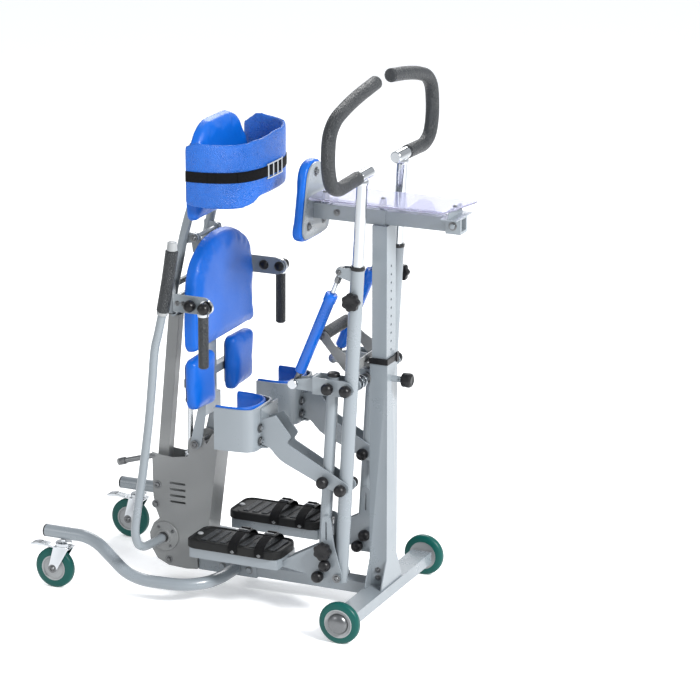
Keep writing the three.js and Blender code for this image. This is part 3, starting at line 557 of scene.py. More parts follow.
    def star_knob(self, x: float, z: float, y: float, side: float) -> "Piece":
        """A seven-lobed hand knob on a stem."""
        self.lathe((x, y, z), (0, side, 0), [(9, -2), (9, 8), (8, 9)], Finish.STEEL, 24)
        rim = [(18, 6.4), (24.6, 7), (26.2, 10), (26.2, 22), (25.2, 26.4), (22, 27.8), (13, 28), (11, 27), (0, 27)]
        return self.lathe((x, y, z), (0, side, 0), rim, Finish.BLACK, 84, (7, 0.075))

    def bolt(self, base: tuple, axis: tuple, radius: float = 7.0, height: float = 5.0) -> "Piece":
        """A domed bolt head on a washer."""
        r, h = radius, height
        self.lathe(base, axis, [(r * 1.5, -0.5), (r * 1.5, 1.2), (r * 1.4, 1.6), (r, 1.6)], Finish.STEEL, 24)
        dome = [(r, 1.0), (r, h * 0.5), (r * 0.8, h * 0.9), (r * 0.45, h), (r * 0.42, h * 0.6), (0, h * 0.6)]
        return self.lathe(base, axis, dome, Finish.STEEL, 24)

    def bolt_pair(self, x: float, y: float, z: float, radius: float, height: float) -> "Piece":
        """A bolt head on each side, at y and -y."""
        for side in (-1, 1):
            self.bolt((x, side * y, z), (0, side, 0), radius, height)
        return self

    def done(self, body: str, slot: str, *nodes: str, sharp: float = 38.0) -> bpy.types.Object:
        """Make the object, dress it, and let it ride and replace its CAD nodes.

        Args:
            body: the CAD body it moves with.
            slot: the material slot's name; not used.
            nodes: the CAD nodes it stands for.
            sharp: the angle over which an edge stays sharp, in degrees.

        Returns:
            The finished object.
        """
        mesh = bpy.data.meshes.new(self.name)
        points = (np.concatenate(self.verts) + np.array([SHIFT_X, 0.0, 0.0])) / MM
        mesh.from_pydata(points.tolist(), [], self.faces)
        mesh.polygons.foreach_set("material_index", np.array(self.marks, np.int32))
        work = bmesh.new()
        work.from_mesh(mesh)
        bmesh.ops.recalc_face_normals(work, faces=work.faces)
        work.to_mesh(mesh)
        work.free()
        return dress(mesh, self.name, self.finishes, body, nodes, sharp)


def dress(mesh: bpy.types.Mesh, name: str, finishes: list[Finish], body: str, nodes: tuple[str, ...],
          sharp: float = 38.0) -> bpy.types.Object:
    """Turn a mesh in metres into a finished piece on its body.

    Args:
        mesh: the mesh, at its place in the frame.
        name: the piece's name.
        finishes: its finishes, in the order of its material indices.
        body: the CAD body it moves with.
        nodes: the CAD nodes it stands for.
        sharp: the angle over which an edge stays sharp, in degrees.

    Returns:
        The finished object.
    """
    for finish in finishes:
        mesh.materials.append(MATERIALS[finish])
    mesh.polygons.foreach_set("use_smooth", np.ones(len(mesh.polygons), bool))
    mesh.set_sharp_from_angle(angle=math.radians(sharp))
    made = bpy.data.objects.new(name, mesh)
    bpy.context.scene.collection.objects.link(made)
    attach(made, body)
    if nodes:
        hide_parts(*nodes)
    LOG.info("%s: %d faces on %s", name, len(mesh.polygons), body)
    return made


MATERIALS = {finish: coat.build(finish.value) for finish, coat in COATS.items()}


def softened(node: str, body: str, finish: Finish, width: float = 1.2) -> bpy.types.Object:
    """A merged copy of a CAD node with its flat faces joined and its edges rounded.

    Args:
        node: the CAD node.
        body: the body it moves with.
        finish: what it is finished in.
        width: the rounding in millimetres.

    Returns:
        The copy, which replaces the node.
    """
    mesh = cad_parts[node].data.copy()
    mesh.materials.clear()
    work = bmesh.new()
    work.from_mesh(mesh)
    bmesh.ops.remove_doubles(work, verts=work.verts, dist=1e-6)
    bmesh.ops.dissolve_limit(work, angle_limit=math.radians(1.0), verts=work.verts, edges=work.edges)
    work.to_mesh(mesh)
    work.free()
    mesh.polygons.foreach_set("material_index", np.zeros(len(mesh.polygons), np.int32))
    made = dress(mesh, f"{node}_finish", [finish], body, (node,), 44.0)
    bevel = made.modifiers.new("edges", "BEVEL")
    bevel.width = width / MM
    bevel.segments = 2
    bevel.limit_method = "ANGLE"
    bevel.angle_limit = math.radians(44.0)
    bevel.harden_normals = True
    return made


def applied(obj: bpy.types.Object) -> bpy.types.Mesh:
    """The object's mesh with its modifiers worked in, as a new mesh."""
    return bpy.data.meshes.new_from_object(obj.evaluated_get(bpy.context.evaluated_depsgraph_get()))


def points_of(mesh: bpy.types.Mesh) -> Array:
    """The mesh's vertices as an (n, 3) array in metres."""
    flat = np.empty(len(mesh.vertices) * 3, np.float32)
    mesh.vertices.foreach_get("co", flat)
    return flat.reshape(-1, 3).astype(float)


@dataclass
class Cushion:
    """A padded piece: a closed form remeshed, swollen by cloth pressure and held by a cap on its travel."""

    form: Piece
    body: str
    slot: str
    nodes: tuple[str, ...]
    rest_x: float | None = None
    cap: float = 5.0
    voxel: float = 5.0
    fill: float = 0.85
    pressure: float = 4.0

    def swell(self, work: bpy.types.Object) -> None:
        """Run the cloth and keep each point within cap of where it began.

        A move of length d becomes cap*tanh(d/cap) in the same direction.

        Args:
            work: the remeshed form.
        """
        before = points_of(work.data)
        if self.rest_x is not None:
            held = np.flatnonzero(np.abs(before[:, 0] - (self.rest_x + SHIFT_X) / MM) < HELD_BAND)
            work.vertex_groups.new(name="rest").add(held.tolist(), 1.0, "REPLACE")
        cloth = work.modifiers.new("cloth", "CLOTH")
        cloth.settings.quality = 5
        cloth.settings.use_pressure = True
        cloth.settings.uniform_pressure_force = self.pressure
        cloth.settings.effector_weights.gravity = 0.0
        if self.rest_x is not None:
            cloth.settings.vertex_group_mass = "rest"
        for step in range(1, CLOTH_FRAMES + 1):
            bpy.context.scene.frame_set(step)
        swollen = applied(work)
        move = points_of(swollen) - before
        bpy.context.scene.frame_set(1)
        work.modifiers.remove(cloth)
        length = np.linalg.norm(move, axis=1, keepdims=True)
        limit = self.cap / MM
        after = before + move * (limit * np.tanh(length / limit) / np.maximum(length, 1e-9))
        work.data.vertices.foreach_set("co", after.astype(np.float32).ravel())

    def build(self) -> bpy.types.Object:
        """Make the cushion.

        Returns:
            The finished piece.
        """
        rough = self.form.done(self.body, self.slot, sharp=180.0)
        rough.parent = None
        remesh = rough.modifiers.new("remesh", "REMESH")
        remesh.mode = "VOXEL"
        remesh.voxel_size = self.voxel / MM
        smooth = rough.modifiers.new("smooth", "SMOOTH")
        smooth.iterations = 3
        rough.data = applied(rough)
        rough.modifiers.clear()
        self.swell(rough)
        rough.modifiers.new("settle", "SMOOTH").iterations = 5
        finer = rough.modifiers.new("finer", "SUBSURF")
        finer.levels = finer.render_levels = 1
        final = applied(rough)
        finishes = self.form.finishes[:1]
        bpy.data.objects.remove(rough)
        final.materials.clear()
        final.polygons.foreach_set("material_index", np.zeros(len(final.polygons), np.int32))
        made = dress(final, self.form.name, finishes, self.body, self.nodes, 180.0)
        return made


def pillow(name: str, corners: list[tuple], low: float, high: float, edge: float, finish: Finish) -> Piece:
    """An upright pad whose front edge is a quarter round: inset edge*(1-cos a) at depth edge*(1-sin a).

    Args:
        name: the piece's name.
        corners: the outline.
        low: the level it rests at.
        high: the level of its front.
        edge: the radius of the front edge.
        finish: its finish.

    Returns:
        The piece in the making.
    """
    line = rounded(corners, 8)
    sign = 1.0 if high > low else -1.0
    turn = np.linspace(0, np.pi / 2, 7)
    steps = [(2.0, low), (0.0, low + sign * 3.0)] + [
        (edge * (1 - math.cos(a)), high - sign * edge * (1 - math.sin(a))) for a in turn
    ]
    rings = np.zeros((len(steps), len(line), 3))
    for row, (shrink, level) in enumerate(steps):
        rings[row, :, 1:], rings[row, :, 0] = inset(line, shrink), level
    return Piece(name).shell(rings, finish)


# ---- sub-assemblies ------------------------------------------------------------------------


@dataclass
class Base:
    """The floor frame: crossbar, beam, column, bent rear legs, pivot shaft and knee roller."""

    leg_radius: float = 19.0
    pivot: tuple[float, float] = (-40.0, 728.0)
    leg: tuple = (
        (-478, 35.4, 63), (-479, 70, 63), (-484, 122, 63), (-506, 182, 63), (-556, 224, 63), (-620, 238, 64),
        (-690, 243, 67), (-740, 246, 84), (-790, 246, 124), (-835, 246, 161), (-880, 246, 177), (-930, 246, 178),
        (-1012, 246, 178),
    )

    def build(self) -> None:
        """Make every piece of the base."""
        softened("front_crossbar", "base", Finish.FRAME, 3.0)
        softened("base_beam", "base", Finish.FRAME, 2.5)
        softened("column_outer", "base", Finish.FRAME, 2.2)
        softened("column_collar", "base", Finish.BLACK, 1.0)
        softened("roller_bracket", "base", Finish.TOWER, 1.2)
        for name, side in SIDES.items():
            leg = Piece(f"rear_leg_tube_{name}")
            leg.tube([(x, side * y, z) for x, y, z in self.leg], self.leg_radius, Finish.FRAME, 90, 32)
            x, y, z = self.leg[-1]
            plug = [(12, -6), (19.4, -1), (19.4, 1.5), (18, 3.6), (10, 4.4), (0, 4.4)]
            leg.lathe((x, side * y, z), (-1, 0, 0), plug, Finish.BLACK, 32)
            weld = [(19, 0), (21.5, 1.5), (21, 4), (19, 6)]
            leg.lathe((-478.6, side * 35, 63), (0, side, 0), weld, Finish.FRAME, 32)
            leg.done("base", "frame_paint", f"rear_leg_{name}")
        self.shaft()
        self.roller()
        self.fittings()

    def shaft(self) -> None:
        """Make the pivot shaft with its rings and nuts."""
        x, z = self.pivot
        shaft = Piece("pivot_shaft_turned")
        shaft.tube([(x, -115.5, z), (x, 115.5, z)], 11.5, Finish.CHROME, 2, 32)
        shaft.block((x - 26, -30, z - 24), (-28.3, 30, z + 24), Finish.FRAME, 3.0, Plane.XZ)
        for side in (-1, 1):
            for y in (68, 92):
                ring = [(11.5, 0), (19, 0), (20, 1), (20, 6), (19, 7), (11.5, 7)]
                shaft.lathe((x, side * y, z), (0, side, 0), ring, Finish.CHROME, 40)
            nut = [(11.5, 0), (17.5, 0), (18, 1), (18, 8), (17, 9), (11.5, 9)]
            shaft.lathe((x, side * 32, z), (0, side, 0), nut, Finish.STEEL, 6)
        shaft.done("base", "frame_paint", "pivot_shaft")

    def roller(self) -> None:
        """Make the foam roller between the bracket's arms."""
        half, r = 88.0, 18.5
        profile = [(7.4, -half), (r - 3, -half), (r - 1, -half + 1), (r, -half + 3), (r, half - 3), (r - 1, half - 1),
                   (r - 3, half), (7.4, half)]
        roller = Piece("roller_grip_foam").lathe((-157, 0, 858), (0, 1, 0), profile, Finish.GRIP, 48)
        roller.bolt_pair(-157, 94.5, 858, 7.5, 6)
        roller.done("base", "grip_foam", "roller_grip")

    def fittings(self) -> None:
        """Make the bolts and plugs on the beam and the crossbar."""
        bits = Piece("base_fittings")
        for side in (-1, 1):
            for x in (-520, -430):
                bits.bolt((x, side * 34, 64), (0, side, 0), 8, 6)
            bits.block((-26, side * 292, 52), (26, side * 297.4, 75), Finish.BLACK, 4, Plane.XZ)
            bits.lathe((0, side * 297, 63.5), (0, side, 0), [(14, 0), (14, 1.8), (12, 2.4), (8, 2.4)], Finish.STEEL, 32)
            for z in (108, 132):
                bits.bolt((0, side * 38, z), (0, side, 0), 6, 5)
        bits.done("base", "frame_paint")


@dataclass
class Tower:
    """The pump tower: its housing, flange and the two link boxes on the pivot shaft."""

    hub: tuple[float, float] = (-711.0, 137.0)
    pivot: tuple[float, float] = (-40.0, 728.0)

    def build(self) -> None:
        """Make every piece of the tower."""
        softened("tower_housing", "base", Finish.TOWER, 1.4)
        x, z = self.hub
        flange = Piece("hub_flange_turned")
        disc = [(11.4, 42.3), (44.5, 42.3), (46, 43.5), (46, 46.2), (44.8, 47.5), (25.5, 48), (24, 49), (23.5, 54.6),
                (22, 56), (17, 56.2), (11.4, 56.2)]
        flange.lathe((x, 0, z), (0, -1, 0), disc, Finish.TOWER, 64)
        seal = [(11.4, 55), (17, 55), (17, 56.6), (15, 57), (11.4, 57)]
        flange.lathe((x, 0, z), (0, -1, 0), seal, Finish.RUBBER, 48)
        for turn in (0.6, 2.17, 3.74, 5.31):
            at = (x + 35 * math.cos(turn), -47.3, z + 35 * math.sin(turn))
            flange.bolt(at, (0, -1, 0), 3.6, 3.6)
        flange.done("base", "tower_paint", "hub_flange")
        caps = Piece("tower_caps")
        for px, y, pz, radius, height in (
            (-742, 41.6, 236, 8.6, 8), (-700, 41.6, 62, 8.6, 8), (-735, 42, 300, 9, 6), (-600, 56, 450, 9, 6),
        ):
            caps.bolt_pair(px, y, pz, radius, height)
        valve = [(8, 0), (8.4, 1), (8.4, 104), (11.4, 105), (11.4, 122), (9, 126), (0, 127)]
        caps.lathe((-742, -35, 392), (-104, -9, -30), valve, Finish.STEEL, 32)
        caps.done("base", "tower_paint")
        for name, side in SIDES.items():
            softened(f"link_box_{name}", "base", Finish.FRAME, 1.2)
            knobs = Piece(f"link_box_knobs_{name}", move_y=side * UNIT_Y)
            px, pz = self.pivot
            knobs.ball_knob(px, pz, side * 28, side).ball_knob(px - LINK_BACK, pz, side * 28, side)
            knobs.ball_knob(px - LINK_BACK, pz, -side * 28, -side)
            for face in (-1, 1):
                boss = [(11, -0.5), (14, 0), (14.6, 1), (14.6, 9), (13.4, 10.4), (0, 10.6)]
                knobs.lathe((-219, face * 16, 722), (0, face, 0), boss, Finish.CHROME, 40)
            knobs.done("base", "black_plastic")


@dataclass
class Mast:
    """The sliding mast with the tray, the chest pad and the latch knob."""

    chest: tuple = ((-108, 1128, 46), (108, 1128, 46), (52, 1362, 50), (-52, 1362, 50))

    def build(self) -> None:
        """Make every piece of the mast."""
        softened("column_inner", "mast", Finish.FRAME, 2.0)
        softened("tray_beam", "mast", Finish.FRAME, 1.2)
        softened("tray_top", "mast", Finish.CLEAR, 1.6)
        softened("chest_plate", "mast", Finish.FRAME, 1.0)
        bolts = Piece("chest_bolts")
        for y, z in ((0, 1326), (-52, 1172), (52, 1172)):
            bolts.bolt((-216.6, y, z), (1, 0, 0), 9.6, 7)
        for x in (-188, -4, 222):
            bolts.bolt((x, 0, 1267.8), (0, 0, 1), 5, 3)
        bolts.bolt((226, -25, 1214), (0, -1, 0), 8.5, 6)
        for x in (-140, -60):
            bolts.bolt((x, -23, 1216), (0, -1, 0), 7, 5).bolt((x, 23, 1216), (0, 1, 0), 7, 5)
        bolts.done("mast", "chrome_plate")
        Cushion(pillow("chest_cushion", list(self.chest), -222.0, -254.5, 13, Finish.VINYL), "mast", "upholstery",
                ("chest_pad",), -222.0, 4.0, 4.0).build()
        latch = Piece("latch_knob_turned")
        latch.lathe((24, 0, 725), (1, 0, 0), [(0, 0), (4, 0), (4.6, 1), (4.6, 28)], Finish.CHROME, 24)
        latch.lathe((24, 0, 725), (1, 0, 0), [(4.6, 27), (8.6, 27), (9, 28), (9, 34)], Finish.CHROME, 32)
        knob = [(8, 33), (12, 34), (20, 38), (21.6, 42), (21.4, 47), (22, 52), (22, 60), (19.5, 65.4), (14, 68),
                (12, 67), (0, 67)]
        latch.lathe((24, 0, 725), (1, 0, 0), knob, Finish.BLACK, 48, (12, 0.012))
        latch.done("latch", "black_plastic", "index_knob")


@dataclass
class Wheels:
    """The two front wheels and the two braked casters."""

    radius: float = 63.5
    caster_x: float = -984.0
    caster_y: float = 246.0

    def build(self) -> None:
        """Make every wheel, fork and brake."""
        r = self.radius
        for name, side in SIDES.items():
            wheel = Piece(f"front_wheel_turned_{name}")
            base, out = (0, side * 299.5, r), (0, side, 0)
            tread = [(43, 2.6), (54, 3), (59, 4.6), (62.4, 7.4), (r, 11), (r, 21), (62.4, 24.6), (59, 27.4), (54, 29),
                     (43, 29.2)]
            wheel.lathe(base, out, tread, Finish.TREAD, 96, hoop=True)
            ring = [(8.4, 0), (14, 0), (15, 2), (41, 4), (43.5, 2.4), (44, 4), (44, 28), (43.4, 30), (41, 30.4),
                    (39.4, 28.6),
                    (34, 27), (30, 27.4)]
            wheel.lathe(base, out, ring, Finish.HUB, 96)
            dome = [(31, 26), (32, 28), (31.4, 31), (29, 36), (24, 40.4), (16, 43.4), (8, 44.8), (0, 45)]
            wheel.lathe(base, out, dome, Finish.STEEL, 64)
            wheel.done(f"front_wheel_{name}", "wheel_tread", f"front_wheel_{name}")
            self.caster(name, side)

    def caster(self, name: str, side: float) -> None:
        """Make one caster.

        Args:
            name: right or left.
            side: its sign on Y.
        """
        r, x, y = self.radius, self.caster_x, side * self.caster_y
        softened(f"caster_fork_{name}", f"fork_{name}", Finish.CHROME, 1.0)
        fork = Piece(f"caster_race_{name}")
        race = [(20, 0), (25, 0), (26, 2), (26, 5), (24, 7), (24, 9), (25.6, 10), (25.6, 13.6), (22, 15), (9, 15.2),
                (8.6, 16), (8.6, 24)]
        fork.lathe((-953, y, 134), (0, 0, 1), race, Finish.CHROME, 64)
        for face in (-1, 1):
            fork.bolt((x, y + face * 21, r), (0, face, 0), 8.6, 6)
        fork.done(f"fork_{name}", "chrome_plate")
        wheel = Piece(f"caster_wheel_turned_{name}")
        tread = [(38, -13.6), (54, -14), (60, -11.6), (63, -8), (r, -4), (r, 4), (63, 8), (60, 11.6), (54, 14),
                 (38, 13.6)]
        wheel.lathe((x, y, r), (0, 1, 0), tread, Finish.TREAD, 96, hoop=True)
        hub = [(6.5, -15), (15, -15), (16, -12), (34, -10.6), (36, -14), (39.4, -14.4), (39.4, 14.4), (36, 14),
               (34, 10.6), (16, 12), (15, 15), (6.5, 15)]
        wheel.lathe((x, y, r), (0, 1, 0), hub, Finish.HUB, 96)
        wheel.done(f"rear_wheel_{name}", "wheel_tread", f"caster_wheel_{name}")
        brake = Piece(f"caster_pedal_{name}", move_y=y)
        brake.plate([(-981.5, 128, 1), (-981.5, 134, 1), (-1040, 140, 8), (-1062, 134, 3), (-1060, 129, 2),
                     (-1020, 131.6, 8)],
                    Plane.XZ, -14, 14, Finish.CHROME, 1.2)
        for rib in range(4):
            brake.block((-1054 + 7 * rib, -11, 133.4 + 1.4 * rib), (-1051 + 7 * rib, 11, 137.4 + 1.0 * rib),
                        Finish.STEEL, 1)
        brake.done(f"brake_{name}", "chrome_plate", f"caster_brake_{name}")


def post_x(z: float) -> float:
    """The X of a leaning post's axis at height z."""
    return -73.0 + LEAN * (z - 141.5)


@dataclass
class GlidingUnit:
    """One side's gliding linkage: lever post, link tube, handle, knee cup, foot plate and damper."""

    name: str
    side: float
    grip: tuple = ((173.6, 1367), (250, 1364), (310, 1364), (352, 1384), (371, 1425), (374, 1480), (363, 1530),
                   (330, 1563), (270, 1584), (180, 1603), (50, 1621))
    foot: tuple = ((-556, -56, 16), (-536, -72, 16), (-266, -72, 26), (-246, -46, 26), (-246, 46, 26), (-266, 72, 26),
                   (-536, 72, 16), (-556, 56, 16))

    def piece(self, what: str) -> Piece:
        """A new piece drawn about this unit's own mid-plane."""
        return Piece(f"{what}_{self.name}", move_y=self.side * UNIT_Y)

    def build(self) -> None:
        """Make every piece of the unit."""
        self.posts()
        self.handle()
        self.knee()
        self.foot_plate()
        self.damper()

    def posts(self) -> None:
        """Make the lever post and the link tube beside it."""
        s, n = self.side, self.name
        post = self.piece("lever_post_tube")
        post.tube([(post_x(122), 0, 122), (post_x(1094), 0, 1094)], 20.5, Finish.FRAME, 2, 40)
        ring = [(16.8, 0), (21.6, 0), (22, 1), (22, 9), (21, 10), (16.8, 10)]
        post.lathe((post_x(1087), 0, 1087), (LEAN, 0, 1), ring, Finish.BLACK, 40)
        lug = [(post_x(1060) - 12, 1052), (post_x(1090) - 12, 1092, 4), (-77, 1090, 12), (-86, 1077, 12),
               (-77, 1064, 12)]
        post.plate(lug, Plane.XZ, 11, 16, Finish.FRAME).plate(lug, Plane.XZ, -16, -11, Finish.FRAME)
        post.bolt_pair(-73, 16, 1077, 6, 5)
        post.lathe((post_x(998), s * 15, 998), (0, s, 0), [(12, 0), (12, 7), (11, 8), (9, 8)], Finish.FRAME, 32)
        post.star_knob(post_x(998), 998, s * 20, s)
        post.done(f"lever_{n}", "frame_paint", f"lever_post_{n}")
        link = self.piece("link_tube_round")
        link.tube([(post_x(124) - LINK_BACK, 0, 124), (post_x(760) - LINK_BACK, 0, 760)], 17.5, Finish.FRAME, 2, 36)
        cap = [(14, -3), (19, -1), (19, 5), (17.4, 8), (12, 9.4), (0, 9.6)]
        link.lathe((post_x(760) - LINK_BACK, 0, 759), (LEAN, 0, 1), cap, Finish.BLACK, 36)
        link.lathe((post_x(124) - LINK_BACK, 0, 125), (-LEAN, 0, -1), [(17.6, 0), (17.6, 1.4), (15, 2.4), (0, 2.4)],
                   Finish.BLACK, 36)
        link.done(f"link_{n}", "frame_paint", f"link_tube_{n}")

    def handle(self) -> None:
        """Make the chrome handle tube and its foam grip."""
        s, n = self.side, self.name
        tube = self.piece("handle_chrome")
        tube.tube([(post_x(960), 0, 960), (post_x(1367), 0, 1367)], 16.6, Finish.CHROME, 2, 40)
        top = post_x(1350)
        tube.tube([(top, s * -52, 1368), (top, s * 28.2, 1367)], 17.6, Finish.CHROME, 2, 40, 3.0)
        tube.lathe((post_x(1344), 0, 1340), (LEAN, 0, 1), [(16.6, 0), (19, 4), (19.4, 8), (18, 14)], Finish.CHROME, 40)
        tube.done(f"handle_{n}", "chrome_plate", f"handle_tube_{n}")
        grip = Piece(f"handle_foam_{n}")
        line = [(top - 0.012 * (y - 172), s * y, z) for y, z in self.grip]
        grip.tube(line, 20.5, Finish.GRIP, 110, 36, 5.0)
        grip.done(f"handle_{n}", "grip_foam", f"handle_grip_{n}")

    def knee(self) -> None:
        """Make the knee bracket's fittings and the padded liner of its cup."""
        s, n = self.side, self.name
        softened(f"knee_bracket_{n}", f"knee_{n}", Finish.FRAME, 1.2)
        bits = self.piece("knee_fittings")
        for x, z in ((-57.2, 421), (-114.2, 438)):
            bits.ball_knob(x, z, -28, -1).ball_knob(x, z, 28, 1)
        for z in (538, 578):
            bits.bolt((-317.4, -34, z), (1, 0, 0), 9, 7)
        bits.done(f"knee_{n}", "black_plastic")
        half = [(-449, 73), (-420, 73), (-390, 71), (-360, 62), (-342, 42), (-336, 20)]
        path = spline([(x, -y) for x, y in half] + [(-335, 0)] + half[::-1], 70)
        liner = self.piece("knee_liner").band(path, 517, 647, 13.0, Finish.VINYL)
        Cushion(liner, f"knee_{n}", "upholstery", (f"knee_pad_{n}",), None, 2.0, 4.0, 0.8, 2.0).build()

    def foot_plate(self) -> None:
        """Make the foot tray's fittings, the ribbed rubber plate and its straps."""
        s, n = self.side, self.name
        softened(f"foot_frame_{n}", f"foot_{n}", Finish.FRAME, 1.0)
        bits = self.piece("foot_knobs")
        for x, z in ((-131, 141.5), (-107, 180)):
            bits.ball_knob(x, z, -28, -1).ball_knob(x, z, 28, 1)
        bits.star_knob(-113, 224, s * 28, s)
        bits.bolt_pair(-73, 34, 141.5, 9, 6)
        bits.done(f"foot_{n}", "black_plastic")
        pad = self.piece("foot_mat")
        outer = self.foot
        pad.plate(outer, Plane.XY, 180.4, 201, Finish.RUBBER, 2.0)
        line = rounded(outer, 5)
        rim_out, rim_in = inset(line, 1.0), inset(line, 7.0)
        rings = np.zeros((5, len(line), 3))
        for row, (shape, z) in enumerate(((line, 199), (rim_out, 204.5), (inset(line, 4.0), 206), (rim_in, 204.5),
                                          (inset(line, 9.0), 200.6))):
            rings[row, :, :2], rings[row, :, 2] = shape, z
        pad.shell(rings, Finish.RUBBER)
        pad.plate([(x * 0.86 - 56, y * 0.84, 16) for x, y, _ in outer], Plane.XY, 199, 203.4, Finish.RUBBER, 0.8)
        for rib in range(8):
            x = -514 + 32.0 * rib
            skew = [(x, -50, 3), (x + 20, -50, 3), (x + 25, 50, 3), (x + 5, 50, 3)]
            pad.plate(skew, Plane.XY, 202.6, 206.2, Finish.GRIP, 1.2)
        pad.lathe((-538, 0, 205), (0, 0, 1), [(9, -2), (9, 0), (7, 2.4), (0, 3)], Finish.HUB, 32)
        pad.done(f"foot_{n}", "foot_rubber", f"foot_pad_{n}")
        straps = self.piece("foot_straps")
        for x in (-309, -396):
            path = spline([(-73.5, 186), (-74.5, 202), (-62, 216), (-25, 229), (25, 229), (62, 216), (74.5, 202),
                           (73.5, 186)], 60)
            straps.band(path, x - 15, x + 15, 2.4, Finish.WEBBING, Plane.YZ)
            straps.block((x - 19, -6, 228), (x + 19, 32, 234), Finish.BLACK, 4)
            straps.block((x - 15, 0, 233.4), (x + 15, 6, 238), Finish.STEEL, 2)
            straps.block((x - 15, 20, 233.4), (x + 15, 26, 238), Finish.BLACK, 2)
            straps.bolt_pair(x, 74, 192, 4.5, 3)
        straps.done(f"foot_{n}", "black_plastic")

    def damper(self) -> None:
        """Make the blue gas damper and its rod."""
        n = self.name
        foot, head = np.array([-219.0, 0, 722]), np.array([-71.0, 0, 1077])
        axis = tuple((head - foot).tolist())
        size = float(np.linalg.norm(head - foot))
        body = self.piece("damper_barrel")
        barrel = [(9, 0.09 * size), (15, 0.1 * size), (17, 0.11 * size), (17, 0.725 * size), (19, 0.735 * size),
                  (19, 0.79 * size), (17, 0.8 * size), (8.4, 0.8 * size)]
        body.lathe(tuple(foot), axis, barrel, Finish.DAMPER, 48)
        body.lathe(tuple(foot), axis, [(8, 0.02 * size), (9, 0.03 * size), (9, 0.12 * size)], Finish.STEEL, 32)
        body.lathe((-219, -10, 722), (0, 1, 0), [(5.6, 0), (12, 0), (13, 1), (13, 19), (12, 20), (5.6, 20)],
                   Finish.STEEL, 40)
        body.done(f"damper_{n}", "damper_blue", f"damper_cylinder_{n}")
        rod = self.piece("damper_stem")
        rod.lathe(tuple(foot), axis, [(6, 0.42 * size), (6.5, 0.43 * size), (6.5, 0.97 * size)], Finish.CHROME, 32)
        rod.lathe(tuple(foot), axis, [(9, 0.9 * size), (10, 0.91 * size), (10, 0.95 * size)], Finish.STEEL, 6)
        rod.lathe((-71, -10, 1077), (0, 1, 0), [(5.6, 0), (13, 0), (14, 1), (14, 19), (13, 20), (5.6, 20)],
                  Finish.STEEL, 40)
        rod.done(f"piston_{n}", "chrome_plate", f"damper_rod_{n}")


@dataclass
class Seat:
    """The folding seat: frame, pelvis pad and two thigh pads."""

    pelvis: tuple = ((-205, 782, 26), (205, 782, 26), (209, 960, 60), (186, 1052, 70), (86, 1117, 80), (-86, 1117, 80),
                     (-186, 1052, 70), (-209, 960, 60))
    thigh: tuple = ((58, 596, 22), (196, 606, 22), (206, 760, 22), (58, 766, 22))

    def build(self) -> None:
        """Make every piece of the seat."""
        softened("seat_frame", "seat", Finish.FRAME, 1.4)
        board = Piece("pelvis_board")
        board.plate([(y * BOARD_SIZE, 950 + (z - 950) * BOARD_SIZE, r) for y, z, r in self.pelvis], Plane.YZ, *BOARD_X,
                    Finish.BLACK)
        for y in (-60, 60):
            board.block((-575, y - 26, 1040), (-559, y + 26, 1056), Finish.TOWER, 4, Plane.YZ)
        board.done("seat", "upholstery")
        Cushion(pillow("pelvis_cushion", list(self.pelvis), CUSHION_X, -514, 20, Finish.VINYL), "seat", "upholstery",
                ("pelvis_pad",), CUSHION_X, 6.0, 5.5).build()
        for name, side in SIDES.items():
            shape = [(side * y, z, r) for y, z, r in self.thigh]
            inner = [(side * (131 + (y - 131) * 0.84), 682 + (z - 682) * 0.86, r) for y, z, r in self.thigh]
            Piece(f"thigh_board_{name}").plate(inner, Plane.YZ, *BOARD_X, Finish.BLACK).done("seat", "upholstery")
            Cushion(pillow(f"thigh_cushion_{name}", shape, CUSHION_X, -518, 16, Finish.VINYL), "seat", "upholstery",
                    (f"thigh_pad_{name}",), CUSHION_X, 5.0, 5.0).build()


